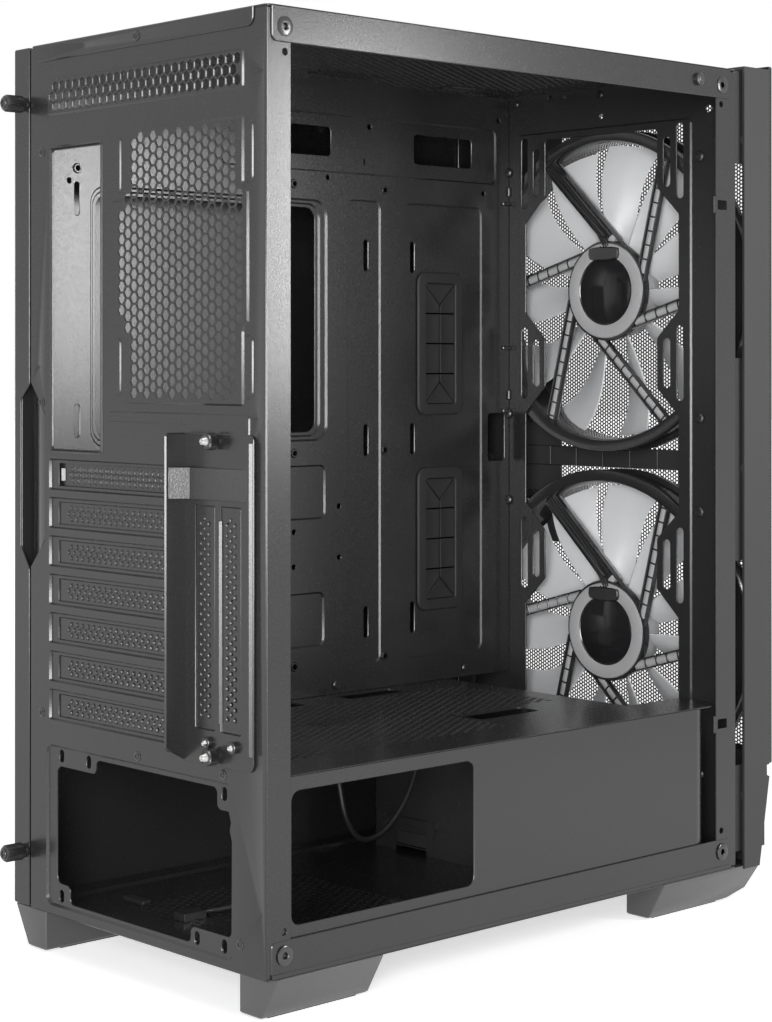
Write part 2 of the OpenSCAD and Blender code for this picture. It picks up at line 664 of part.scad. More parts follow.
// Grommet: a rubber lip on the board side and slit flaps in the opening.
module grommet(i) color(rubber) in_case() translate([0, grommet_y, grommet_zs[i]]) {
  w = grommet_w / 2 - gap;
  h = grommet_h / 2 - gap;
  wall_x(tray_x + emboss - 1.6, 1.6) difference() {
    rect([-w - lip, -h - lip], [w + lip, h + lip]);
    rect([-w + 2, -h + 2], [w - 2, h - 2]);
  }
  wall_x(tray_x + emboss - 0.8, 2.4) difference() {
    rect([-w, -h], [w, h]);
    rect([-0.4, -h + 6], [0.4, h - 6]);
    for (k = [-1:1]) translate([0, k * h / 2]) rect([-w + 3, -0.4], [w - 3, 0.4]);
  }
}
module cable_grommet_upper() grommet(0);
module cable_grommet_lower() grommet(1);

// ---------- feet ----------
foot_solid_h = foot_h - pad_t;
toe_l = 19;
module foot(y0, l) translate([0, y0 + l, 0]) rotate([90, 0, 0]) linear_extrude(l)
  polygon([[0, 0], [foot_w, 0], [foot_w, -foot_solid_h], [foot_lean, -foot_solid_h]]);
// A front foot reaches under the front panel and has a slanted toe.
module front_foot() difference() {
  foot(front_foot_y, front_foot_l);
  wall_x(-cut, foot_w + 2 * cut) translate([front_foot_y, 0]) polygon([[-cut, bezel_z0 - cut], [0, bezel_z0 - cut],
    [3, 5 - foot_solid_h], [toe_l, -foot_solid_h], [toe_l, -foot_h], [-cut, -foot_h]]);
  box([-cut, front_foot_y - cut, bezel_z0 - gap], [foot_w + cut, bezel_y0 + gap, cut]);
}
rear_foot_y = -6 - rear_foot_l;
front_foot_y = -292 - front_foot_l;
module mirrored() translate([case_w, 0, 0]) mirror([1, 0, 0]) children();
module foot_rear_left() color(plastic) in_case() foot(rear_foot_y, rear_foot_l);
// The one on the closed side ends almost flush with the rear face.
module foot_rear_right() color(plastic) in_case() mirrored() foot(rear_foot_y, rear_foot_l + 5);
module foot_front_left() color(plastic) in_case() front_foot();
module foot_front_right() color(plastic) in_case() mirrored() front_foot();
module pad(y0, l) box([foot_lean + 2, y0, -foot_h], [foot_w - 2, y0 + l, -foot_solid_h]);
module pad_pair() {
  pad(rear_foot_y + 6, rear_foot_l - 12);
  pad(front_foot_y + toe_l + 5, front_foot_l - toe_l - 11);
}
module foot_pads() color(rubber) in_case() {
  pad_pair();
  mirrored() pad_pair();
}

// ---------- fans ----------
module at_fan(i) in_case() translate([fan_x, fan_y, fan_zs[i]]) children();
ear = 6;
strut_y = -3;            // rear side of the struts, inside the ring
boss_t = 5;
strut_turn = 43;         // direction of the cable strut
strut_off = 25;          // distance of a strut's line from the axis
// Drawn as (x, z) seen from behind the case and extruded forwards.
module ring_2d() difference() {
  union() {
    circle(d = fan_d, $fn = 96);
    for (a = [45:90:315]) rotate(a) translate([fan_fix / 2 * sqrt(2), 0]) circle(ear, $fn = 24);
    for (a = [45:90:315]) rotate(a) translate([fan_d / 2 - 8, -ear]) square([fan_fix / 2 * sqrt(2) - fan_d / 2 + 8, 2 * ear]);
  }
  circle(d = fan_bore, $fn = 96);
  for (a = [45:90:315]) rotate(a) translate([fan_fix / 2 * sqrt(2), 0]) circle(thread_r + gap);
}
module fan_frame(i) color(plastic) at_fan(i) {
  wall_y(0, 4) ring_2d();
  wall_y(4 - fan_t, 4) ring_2d();
  wall_y(-3, fan_t - 6) difference() {
    circle(d = fan_d - 4, $fn = 96);
    circle(d = fan_bore, $fn = 96);
  }
  wall_y(strut_y, boss_t) circle(d = boss_d, $fn = 64);
  for (k = [0:5]) rotate([0, -strut_turn - 60 * k, 0]) translate([0, strut_y, 0]) {
    w = k == 0 ? 9 : 5;
    len = sqrt(pow(fan_bore / 2 + 2, 2) - pow(strut_off, 2));
    translate([8, -4, strut_off - w / 2]) cube([len - 8, 4, w]);
  }
  // shaft that carries the rotor
  translate([0, strut_y - boss_t, 0]) rotate([90, 0, 0]) cylinder(r = shaft_r, h = fan_t + strut_y - boss_t - 5);
}
module fan_frame_upper() fan_frame(0);
module fan_frame_lower() fan_frame(1);

rotor_y = strut_y - boss_t - 0.6;        // rear side of the rotor's hub
hub_h = fan_t + rotor_y - 1.5;
blade_pitch = 32;
blade_sweep = 27;
blade_w = 40;
module fan_rotor(i) color(frosted) at_fan(i) {
  r0 = boss_d / 2 - 6;
  r1 = fan_bore / 2 - 1.5;
  translate([0, rotor_y, 0]) rotate([90, 0, 0]) difference() {
    cylinder(d = boss_d - 3, h = hub_h, $fn = 64);
    translate([0, 0, -cut]) cylinder(r = shaft_r + shaft_gap, h = hub_h - 3 + cut);
  }
  // flat blades, tilted about their own length and clipped to a circle
  translate([0, rotor_y, 0]) intersection() {
    for (k = [0:blades - 1]) rotate([0, 360 / blades * k, 0]) translate([r0, -hub_h / 2, 0])
      rotate([0, blade_sweep, 0]) rotate([0, 90, 0]) rotate([0, 0, blade_pitch])
        linear_extrude(r1) square([blade_w, 1.8], center = true);
    wall_y(0, hub_h) difference() {
      circle(r1, $fn = 96);
      circle(r0);
    }
  }
}
module fan_rotor_upper() fan_rotor(0);
module fan_rotor_lower() fan_rotor(1);
label_r = 20;
module fan_label(i) color(rubber) at_fan(i) wall_y(strut_y + 0.3, 0.3) circle(label_r, $fn = 48);
module fan_label_upper() fan_label(0);
module fan_label_lower() fan_label(1);
// Motor lead: held in the cable strut from the boss to the ring.
module fan_lead(i) color(rubber) at_fan(i) rotate([0, -strut_turn, 0])
  translate([label_r + 2, strut_y + 1.2, strut_off]) rotate([0, 90, 0]) cylinder(r = 1.2, h = 60);
module fan_lead_upper() fan_lead(0);
module fan_lead_lower() fan_lead(1);
module fan_screws() color(bright) in_case()
  for (z = fan_zs, sx = [-1, 1], sz = [-1, 1])
    translate([fan_x + sx * fan_fix / 2, front_y, z + sz * fan_fix / 2]) rotate([90, 0, 0]) {
      translate([0, 0, -screw_head_h]) cylinder(r = screw_head_r, h = screw_head_h);
      cylinder(r = thread_r, h = 4);
    }

// ---------- power supply bay and drives ----------
module bay_pads() color(rubber) in_case()
  for (x = [62, 164.5], y = [-48, -150]) box([x - 9, y - 3, sheet], [x + 9, y + 3, 2 * sheet + 1]);
module cage_wall(y) wall_y(y + sheet) difference() {
  rect([cage_x0, sheet], [cage_x1, cage_z1]);
  rect([cage_x1 - 43, sheet - cut], [cage_x1 - 17, 13]);
  for (x = [cage_x1 - 7, cage_x1 - 51, cage_x1 - 96]) translate([x, 20]) circle(2.5);
}
module drive_cage() color(steel) in_case() {
  for (y = [cage_y0, cage_y1 - sheet]) cage_wall(y);
  box([cage_x0, cage_y0, cage_z1 - sheet], [cage_x1, cage_y1, cage_z1]);
  for (x = [cage_x0, cage_x1 - 12]) box([x, cage_y0, sheet], [x + 12, cage_y1, 2 * sheet]);
  // runners
  for (k = [0, 1], y = [cage_y0 + sheet / 2, cage_y1 - 2.5 * sheet])
    box([cage_x0, y, 4 + k * bay_h], [cage_x1, y + 2 * sheet, 4 + k * bay_h + sheet]);
}
module drive_caddy(i) color(plastic) in_case()
  translate([cage_x1 - caddy_l, cage_y0 + sheet + gap, 4 + sheet + gap + (1 - i) * bay_h]) {
    difference() {
      cube([caddy_l, caddy_w, caddy_h - 4]);
      translate([4, 3, 2]) cube([caddy_l - 10, caddy_w - 6, caddy_h]);
      translate([20, 20, -cut]) cube([caddy_l - 40, caddy_w - 40, 4]);
    }
    // grip on the cable side
    translate([caddy_l, caddy_w / 2 - 25, 6]) cube([4, 50, caddy_h - 14]);
  }
module drive_caddy_upper() drive_caddy(0);
module drive_caddy_lower() drive_caddy(1);

// ---------- front panel ----------
// Side outline of the front panel, or of its hollow when t is the wall.
module bezel_profile(t) {
  rear = bezel_y0 + (t > 0 ? cut : 0);
  pan = bezel_y1 + mesh_t + t;
  polygon([[rear, bezel_z0 + t], [rear, bezel_inner_top - t], [pan, bezel_inner_top - t], [pan, chin_h + t],
    [pan + 2, chin_h + t], [pan + 2, chin_h - 6], [chin_y + t, chin_h - 7], [chin_low_y + t, bezel_z0 + t]]);
}
button_x = 40;
button_y = (bezel_y0 + bezel_y1 + mesh_t) / 2;
reset_x = button_x + 20;
usb_xs = [80, 98, 116];
usb_size = [13, 6];
jack_xs = [134, 146];
jack_r = 1.8;
module front_bezel() color(plastic) in_case() {
  difference() {
    wall_x(0, case_w) bezel_profile(0);
    wall_x(bezel_t, case_w - 2 * bezel_t) bezel_profile(bezel_t);
    // air opening behind the mesh
    box([9, bezel_y1, chin_h + 6], [case_w - 9, bezel_y1 + 10, bezel_inner_top - 9]);
    translate([0, 0, bezel_inner_top - 4 * bezel_t]) {
      translate([button_x, button_y, 0]) cylinder(d = power_d + 2 * gap, h = 5 * bezel_t);
      translate([reset_x, button_y, 0]) cylinder(d = reset_d + 2 * gap, h = 5 * bezel_t);
      for (x = usb_xs) translate([x - usb_size[0] / 2, button_y - usb_size[1] / 2, 0])
        cube([usb_size[0], usb_size[1], 5 * bezel_t]);
      for (x = jack_xs) translate([x, button_y, 0]) cylinder(r = jack_r, h = 5 * bezel_t);
    }
  }
  // snap pegs that enter the front plate, each on a rib from the side wall
  for (x = clip_xs, z = clip_zs) {
    wall = x < case_w / 2 ? bezel_t / 2 : case_w - bezel_t / 2;
    translate([x, bezel_y0 - 8, z]) rotate([-90, 0, 0]) cylinder(r = clip_r, h = bezel_gap + 8 + 2 * sheet);
    box([min(x, wall), bezel_y0 - 8, z - 2], [max(x, wall), bezel_y0 - 1, z + 2]);
  }
}
module front_mesh() color(steel) in_case() {
  z0 = chin_h + 0.4;
  y0 = bezel_y1;
  difference() {
    box([0, y0, z0], [case_w, y0 + sheet, bezel_top]);
    translate([0, y0 + sheet + cut, 0]) wall_y(0, sheet + 2 * cut) holes([8, z0 + 6], [case_w - 8, bezel_top - 8], 20, 15);
  }
  for (x = [0, case_w - sheet]) box([x, y0, z0], [x + sheet, y0 + mesh_t - 0.1, bezel_top]);
  for (z = [z0, bezel_top - sheet]) box([0, y0, z], [case_w, y0 + mesh_t - 0.1, z + sheet]);
}
button_l = 9;
module button(x, d, travel) in_case() translate([x, button_y, bezel_inner_top - button_l]) {
  cylinder(d = d, h = button_l + travel + 0.4);
  cylinder(d = d + 3, h = button_l - bezel_t - gap);
}
module power_button() color(plastic) button(button_x, power_d, power_travel);
module reset_button() color(plastic) button(reset_x, reset_d, reset_travel);
board_t = 1.6;
board_top = bezel_inner_top - button_l - 6;
board_x = [button_x - 14, jack_xs[1] + 10];
// The board stands forward from the steel front plate, under the top of the front panel.
module socket_board() color([0.05, 0.2, 0.1]) in_case() {
  box([board_x[0], button_y - 8, board_top - board_t], [board_x[1], -body_d, board_top]);
  for (b = [[button_x, power_travel], [reset_x, reset_travel]])
    box([b[0] - 3, button_y - 3, board_top - 0.5], [b[0] + 3, button_y + 3, bezel_inner_top - button_l - b[1] - gap]);
}
socket_top = bezel_inner_top - bezel_t - gap;
module usb_sockets() color(bright) in_case()
  for (x = usb_xs) translate([x, button_y, board_top]) {
    w = usb_size[0] - 2 * gap;
    d = usb_size[1] - 2 * gap;
    difference() {
      translate([-w / 2, -d / 2, 0]) cube([w, d, socket_top - board_top]);
      translate([0.5 - w / 2, 0.5 - d / 2, 2]) cube([w - 1, d - 1, 20]);
    }
    translate([-5, 0.3, 1]) cube([10, 1.2, socket_top - board_top - 3]);
  }
module audio_sockets() color(plastic) in_case()
  for (x = jack_xs) translate([x, button_y, board_top]) difference() {
    cylinder(r = 4, h = socket_top - board_top);
    translate([0, 0, 2]) cylinder(r = jack_r, h = 20);
  }

// ---------- cable from the front panel to the bay ----------
// Route in the case frame: from the socket board through the front plate, down behind the tray,
// forward of the bay, and two slack loops in it.
cable_r = 1.5;
stretch = [case_w / 211, body_d / 358, shroud_h / 95.5, (body_h - shroud_h) / 366.5];
function cable_z(z) = z < 95.5 ? z * stretch[2] : shroud_h + (z - 95.5) * stretch[3];
route = [for (p = [[150, -372, 446], [166, -371, 445], [182, -367, 441], [189, -361, 438], [191, -354, 436], [194, -347, 428],
  [196, -343, 410], [196, -342, 380], [196, -342, 320], [196, -342, 250],
  [196, -342, 180], [196, -342, 110], [194, -338, 88], [186, -326, 82], [170, -305, 86], [150, -280, 90],
  [128, -250, 91], [114, -228, 89], [106, -206, 70], [101, -188, 46], [98, -168, 32], [97, -150, 31],
  [98, -140, 44], [101, -137, 66], [103, -132, 84], [104, -122, 91], [105, -112, 88], [106, -105, 70],
  [107, -98, 42], [108, -88, 18], [110, -76, 6], [114, -66, 3.2], [116, -60, 3], [116, -54, 3]])
  [p[0] * stretch[0], p[1] * stretch[1], cable_z(p[2])]];
steps = 2;
function spline(p, i, t) = let (a = p[max(i - 1, 0)], b = p[i], c = p[i + 1], d = p[min(i + 2, len(p) - 1)])
  0.5 * ((2 * b) + (c - a) * t + (2 * a - 5 * b + 4 * c - d) * t * t + (3 * b - a - 3 * c + d) * t * t * t);
path = [for (i = [0:len(route) - 2], k = [0:steps - 1]) spline(route, i, k / steps), route[len(route) - 1]];
function unit(v) = v / norm(v);
function tangent(p, i) = unit(p[min(i + 1, len(p) - 1)] - p[max(i - 1, 0)]);
sides = 8;
module tube(p, r) {
  side_dir = [1, 0.2, 0.1];
  rings = [for (i = [0:len(p) - 1]) let (t = tangent(p, i), u = unit(cross(t, side_dir)), v = cross(t, u))
    for (k = [0:sides - 1]) p[i] + r * (cos(360 * k / sides) * u + sin(360 * k / sides) * v)];
  n = len(p);
  polyhedron(rings, concat([[for (k = [0:sides - 1]) sides - 1 - k]], [[for (k = [0:sides - 1]) (n - 1) * sides + k]],
    [for (i = [0:n - 2], k = [0:sides - 1]) [i * sides + k, i * sides + (k + 1) % sides,
      (i + 1) * sides + (k + 1) % sides, (i + 1) * sides + k]]));
}
module front_cable() color(rubber) in_case() tube(path, cable_r);
module front_cable_plug() color(rubber) in_case() {
  end = route[len(route) - 1];
  translate([end[0] - 4, end[1] + 0.1, sheet]) cube([9, 15, 4]);
}
// Clips under the bay cover at the two high places of the cable.
module cable_clips() color(rubber) in_case()
  for (p = [route[16], route[25]]) difference() {
    box([p[0] - 7, p[1] - 2, p[2] - cable_r - 1.4], [p[0] + 7, p[1] + 2, shroud_h - sheet]);
    box([p[0] - 5, p[1] - 5, p[2] - cable_r - 0.6], [p[0] + 5, p[1] + 5, p[2] + cable_r + 0.8]);
  }

rear_panel();
floor_pan();
roof_panel();
front_frame();
motherboard_tray();
tray_front_wing();
tray_top_band();
bay_cover();
right_side_panel();
panel_thumbscrew_upper();
panel_thumbscrew_lower();
slot_bracket();
bracket_thumbscrew_upper();
bracket_thumbscrew_lower();
upright_cover_1();
upright_cover_2();
upright_cover_screws();
slot_cover_1();
slot_cover_2();
slot_cover_3();
slot_cover_4();
slot_cover_5();
slot_cover_6();
slot_cover_7();
glass_inserts();
locating_pin();
chassis_rivets();
cable_grommet_upper();
cable_grommet_lower();
tray_screws();
foot_rear_left();
foot_rear_right();
foot_front_left();
foot_front_right();
foot_pads();
fan_frame_upper();
fan_frame_lower();
fan_rotor_upper();
fan_rotor_lower();
fan_label_upper();
fan_label_lower();
fan_lead_upper();
fan_lead_lower();
fan_screws();
bay_pads();
drive_cage();
drive_caddy_upper();
drive_caddy_lower();
front_bezel();
front_mesh();
power_button();
reset_button();
socket_board();
usb_sockets();
audio_sockets();
cable_clips();
front_cable();
front_cable_plug();
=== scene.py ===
"""Looks of a desktop computer tower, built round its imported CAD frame.

Sizes in this file are millimetres in the case frame: X runs from the open side towards the
closed side, Y is 0 at the rear face and negative towards the front, and Z starts at the floor pan.
"""
import math

import bpy
from mathutils import Matrix, Vector
from mathutils.geometry import delaunay_2d_cdt


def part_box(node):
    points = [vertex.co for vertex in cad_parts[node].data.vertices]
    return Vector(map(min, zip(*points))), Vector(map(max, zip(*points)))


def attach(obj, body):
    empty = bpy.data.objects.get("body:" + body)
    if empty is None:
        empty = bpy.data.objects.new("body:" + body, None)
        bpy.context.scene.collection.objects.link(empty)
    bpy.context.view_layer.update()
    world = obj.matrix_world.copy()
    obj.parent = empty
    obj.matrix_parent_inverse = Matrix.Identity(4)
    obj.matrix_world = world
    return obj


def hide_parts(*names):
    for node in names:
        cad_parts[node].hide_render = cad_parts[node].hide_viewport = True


bl_info = {
    "name": "Computer tower",
    "version": (1, 0, 0),
    "blender": (4, 5, 0),
    "location": "View3D > Sidebar > Tower",
    "description": "Builds the looks of a computer tower round its CAD frame",
    "category": "Object",
}

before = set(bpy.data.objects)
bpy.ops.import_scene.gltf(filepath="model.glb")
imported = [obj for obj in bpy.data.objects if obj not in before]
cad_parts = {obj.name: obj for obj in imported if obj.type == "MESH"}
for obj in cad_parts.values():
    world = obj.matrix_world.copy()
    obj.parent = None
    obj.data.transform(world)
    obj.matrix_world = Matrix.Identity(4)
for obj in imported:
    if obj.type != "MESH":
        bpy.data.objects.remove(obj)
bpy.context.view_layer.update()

# The case frame's origin in the row frame, in metres.
ORIGIN = Vector((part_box("roof_panel")[0].x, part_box("rear_panel")[1].y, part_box("floor_pan")[0].z))


def mm(corner):
    """A row-frame point in case millimetres."""
    return (corner - ORIGIN) * 1000


def case_box(node):
    """A CAD node's lowest and highest corners in case millimetres."""
    return tuple(mm(c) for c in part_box(node))


# ---------- driving sizes, most from the frame ---------
BODY_H = case_box("roof_panel")[1].z
LEDGE_W = 12.7                                   # ledge under the side panel's fold
FACE_X1 = case_box("floor_pan")[1].x - LEDGE_W   # where the plain rear face ends
LEDGE_X1 = case_box("rear_panel")[1].x
CASE_W = case_box("right_side_panel")[1].x
PANEL_X = CASE_W - 1
FRONT_Y = case_box("front_frame")[0].y           # front side of the front plate
TRAY_X = case_box("slot_cover_2")[1].x + 2       # board side of the tray
SHROUD_H = case_box("bay_cover")[1].z
TAB_X = case_box("slot_bracket")[1].x
ROOF_Z = BODY_H - 1
BOARD_Z = BODY_H - 65.2                          # upper row of board fixings
BOARD_ROWS = (BOARD_Z, BOARD_Z - 157.5, BOARD_Z - 282.3)
BOARD_COLUMNS = (-19.3, -174.1, -247.0)
GLASS_YS, GLASS_ZS = (-11, -344), (11, BODY_H - 10)   # screws of the glass panel


# ---------- flat outlines, counter-clockwise ----------
def rect(x0, z0, x1, z1):
    """A rectangle between two corners."""
    return [(x0, z0), (x1, z0), (x1, z1), (x0, z1)]


def arc(cx, cz, r, a0, a1, n):
    """Points of an arc, angles in degrees."""
    return [(cx + r * math.cos(math.radians(a0 + (a1 - a0) * k / n)),
             cz + r * math.sin(math.radians(a0 + (a1 - a0) * k / n))) for k in range(n + 1)]


def rounded(points, r, n=4):
    """The outline with its corners rounded: r is one radius or one for each corner."""
    out = []
    for i, p in enumerate(points):
        p, a, b = Vector(p), Vector(points[i - 1]), Vector(points[(i + 1) % len(points)])
        radius = r[i] if isinstance(r, (list, tuple)) else r
        u, v = (a - p).normalized(), (b - p).normalized()
        angle = u.angle(v)
        if radius <= 0 or angle > 3.1:
            out.append(tuple(p))
            continue
        reach = min(radius / math.tan(angle / 2), (a - p).length * 0.49, (b - p).length * 0.49)
        bent = reach * math.tan(angle / 2)
        middle = p + (u + v).normalized() * (bent / math.sin(angle / 2))
        s, t = p + u * reach - middle, p + v * reach - middle
        turn = -s.angle_signed(t)
        out += [tuple(middle + Matrix.Rotation(turn * k / n, 2) @ s) for k in range(n + 1)]
    return out


def pill(cx, cz, w, l, upright=True, n=6):
    """A slot with round ends, w wide and l long."""
    d = (l - w) / 2
    if upright:
        return arc(cx, cz + d, w / 2, 0, 180, n) + arc(cx, cz - d, w / 2, 180, 360, n)
    return arc(cx + d, cz, w / 2, -90, 90, n) + arc(cx - d, cz, w / 2, 90, 270, n)


def disc(cx, cz, r, n=20, turn=0.0):
    """A circle of n points, the first one turned by so many degrees."""
    return arc(cx, cz, r, turn, turn + 360, n)[:-1]


def offset(loop, d):
    """The counter-clockwise loop moved outwards by d."""
    out = []
    count = len(loop)
    for i in range(count):
        (ax, az), (px, pz), (bx, bz) = loop[i - 1], loop[i], loop[(i + 1) % count]
        ux, uz, vx, vz = px - ax, pz - az, bx - px, bz - pz
        ul, vl = math.hypot(ux, uz) or 1, math.hypot(vx, vz) or 1
        nx, nz, mx, mz = uz / ul, -ux / ul, vz / vl, -vx / vl
        k = d / max(0.4, 1 + nx * mx + nz * mz)
        out.append((px + k * (nx + mx), pz + k * (nz + mz)))
    return out


def inside(loop, x, z):
    """Whether the point lies in the loop."""
    hit = False
    for (ax, az), (bx, bz) in zip(loop, loop[1:] + loop[:1]):
        if (az > z) != (bz > z) and x < (bx - ax) * (z - az) / (bz - az) + ax:
            hit = not hit
    return hit


def field(x0, z0, x1, z1, pitch, r, sides=6, rows=False, keep=None):
    """Staggered holes of radius r that fill a rectangle: in columns, or in rows."""
    if rows:
        return [[(z, x) for x, z in reversed(h)] for h in
                field(z0, x0, z1, x1, pitch, r, sides, False, keep and (lambda a, b: keep(b, a)))]
    step = pitch * math.sqrt(3) / 2
    nx = int((x1 - x0 - 2 * r) / step + 1e-6)
    nz = int((z1 - z0 - 2 * r - pitch / 2) / pitch + 1e-6)
    mx, mz = (x1 - x0 - nx * step) / 2, (z1 - z0 - (nz + 0.5) * pitch) / 2
    out = []
    for i in range(nx + 1):
        for j in range(nz + 1):
            x, z = x0 + mx + i * step, z0 + mz + (j + (i % 2) / 2) * pitch
            if keep is None or keep(x, z):
                out.append(disc(x, z, r, sides, 0 if sides == 6 else 15))
    return out


def strip(path, t):
    """Outline of a bent strip: the path, and the same path moved t to its right."""
    out = []
    for i, p in enumerate(path):
        a, b = path[max(i - 1, 0)], path[min(i + 1, len(path) - 1)]
        u = Vector((p[0] - a[0], p[1] - a[1])) if i else Vector((b[0] - p[0], b[1] - p[1]))
        v = Vector((b[0] - p[0], b[1] - p[1])) if i < len(path) - 1 else u
        u.normalize(), v.normalize()
        n, m = Vector((u.y, -u.x)), Vector((v.y, -v.x))
        k = t / max(0.4, 1 + n.dot(m))
        out.append((p[0] + k * (n.x + m.x), p[1] + k * (n.y + m.y)))
    loop = list(path) + out[::-1]
    area = sum(a[0] * b[1] - b[0] * a[1] for a, b in zip(loop, loop[1:] + loop[:1]))
    return loop if area > 0 else loop[::-1]


# ---------- mesh builder ----------
class Form:
    """Gathers the faces of one piece. Loops lie across an axis: (y, z), (x, z) or (x, y)."""

    def __init__(self):
        self.points, self.faces = [], []

    def ring(self, axis, level, loop):
        """Adds a loop's points at a level of the axis, and returns their numbers."""
        start = len(self.points)
        if axis == "x":
            self.points += [(level, a, b) for a, b in loop]
        elif axis == "y":
            self.points += [(a, level, b) for a, b in loop]
        else:
            self.points += [(a, b, level) for a, b in loop]
        return list(range(start, start + len(loop)))

    def face(self, axis, ids):
        """Adds one face; the loops across Y run the other way round."""
        self.faces.append(ids[::-1] if axis == "y" else ids)

    def bridge(self, axis, low, high):
        """Joins two rings of equal length with four-sided faces."""
        count = len(low)
        for i in range(count):
            j = (i + 1) % count
            self.face(axis, [low[i], low[j], high[j], high[i]])

    def fill(self, axis, outer, holes, up):
        """Closes the flat face between an outer ring and the rings of its holes."""
        pick = {"x": (1, 2), "y": (0, 2), "z": (0, 1)}[axis]
        if not holes and len(outer) == 4:
            self.face(axis, list(outer) if up else list(outer)[::-1])
            return
        ids, loops = [], []
        for ring in [outer] + list(holes):
            loops.append(list(range(len(ids), len(ids) + len(ring))))
            ids += ring
        flat = [Vector((self.points[i][pick[0]], self.points[i][pick[1]])) for i in ids]
        spots, _, triangles, origin, _, _ = delaunay_2d_cdt(flat, [], loops, 2, 1e-6)
        if not all(origin):
            crossing = [tuple(p) for p, o in zip(spots, origin) if not o]
            raise RuntimeError(f"outlines cross at {crossing[:2]}")
        back = [ids[o[0]] for o in origin]
        for t in triangles:
            t = [back[i] for i in t]
            self.face(axis, t if up else t[::-1])

    def wall(self, axis, lo, hi, loop, broken, outwards):
        """The wall along a loop from lo to hi, with broken edges, as its first and last rings."""
        d = -broken if outwards else broken
        levels = [(lo, d), (lo + broken, 0), (hi - broken, 0), (hi, d)] if broken else [(lo, 0), (hi, 0)]
        rings = [self.ring(axis, z, offset(loop, k) if k else loop) for z, k in levels]
        for low, high in zip(rings, rings[1:]):
            self.bridge(axis, *((low, high) if outwards else (high, low)))
        return rings[0], rings[-1]

    def sheet(self, axis, lo, hi, outline, holes=(), dishes=(), edge=0.2, rim=0.12, outer=None):
        """A sheet from lo to hi with holes through it. A dish is (loop, depth, width, holes, dishes):
        a part of the sheet pressed along the axis, with a slanting border of that width."""
        outer = outer or self.wall(axis, lo, hi, outline, edge, True)
        inner = [self.wall(axis, lo, hi, hole, rim, False) for hole in holes]
        for loop, depth, width, cuts, deeper in dishes:
            a = self.ring(axis, lo, loop), self.ring(axis, hi, loop)
            small = offset(loop, -width)
            b = self.ring(axis, lo + depth, small), self.ring(axis, hi + depth, small)
            self.bridge(axis, a[1], b[1])
            self.bridge(axis, b[0], a[0])
            inner.append(a)
            self.sheet(axis, lo + depth, hi + depth, small, cuts, deeper, rim=rim, outer=b)
        self.fill(axis, outer[0], [r[0] for r in inner], False)
        self.fill(axis, outer[1], [r[1] for r in inner], True)
        return self

    def block(self, lo, hi, edge=0.3):
        """A box with broken edges."""
        loop = rounded(rect(lo[0], lo[1], hi[0], hi[1]), edge, 1)
        return self.sheet("z", lo[2], hi[2], loop, edge=edge)

    def turned(self, axis, centre, profile, n=32, wobble=None, closed=False):
        """A turned shape: the profile is (radius, level) along the axis, from low to high."""
        rings = []
        for k, (r, level) in enumerate(profile):
            reach = [r + (wobble(i, k) if wobble else 0) for i in range(n)]
            rings.append(self.ring(axis, level, [
                (centre[0] + reach[i] * math.cos(2 * math.pi * i / n),
                 centre[1] + reach[i] * math.sin(2 * math.pi * i / n)) for i in range(n)]))
        for low, high in zip(rings, rings[1:]):
            self.bridge(axis, low, high)
        if closed:
            self.bridge(axis, rings[-1], rings[0])
        else:
            self.face(axis, rings[0][::-1])
            self.face(axis, rings[-1])
        return self

    def tube(self, path, r, n=10):
        """A round rod along a path of case points."""
        path = [Vector(p) for p in path]
        rings, side = [], None
        for i, p in enumerate(path):
            t = (path[min(i + 1, len(path) - 1)] - path[max(i - 1, 0)]).normalized()
            if side is None:
                side = t.orthogonal().normalized()
            side = (side - t * side.dot(t)).normalized()
            up = t.cross(side)
            start = len(self.points)
            for k in range(n):
                a = 2 * math.pi * k / n
                self.points.append(tuple(p + r * (math.cos(a) * side + math.sin(a) * up)))
            rings.append(list(range(start, start + n)))
        for low, high in zip(rings, rings[1:]):
            self.bridge("z", low, high)
        self.faces += [rings[0][::-1], rings[-1]]
        return self

    def make(self, name, body, slot, material, replaces=(), smooth=32):
        """Turns the faces into a piece that rides a body; edges sharper than smooth degrees stay crisp."""
        mesh = bpy.data.meshes.new(name)
        mesh.from_pydata([ORIGIN + Vector(p) / 1000 for p in self.points], [], self.faces)
        piece = bpy.data.objects.new(name, mesh)
        bpy.context.scene.collection.objects.link(piece)
        mesh.shade_smooth()
        mesh.set_sharp_from_angle(angle=math.radians(smooth))
        mesh.materials.append(material)
        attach(piece, body)
        if replaces:
            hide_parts(*replaces)
        return piece


# ---------- finishes ----------
GRAIN_DEPTH = 0.0003                             # metres between the grain's peaks and pits
BROAD_SCALE = 9.0                                # broad changes of tone per metre


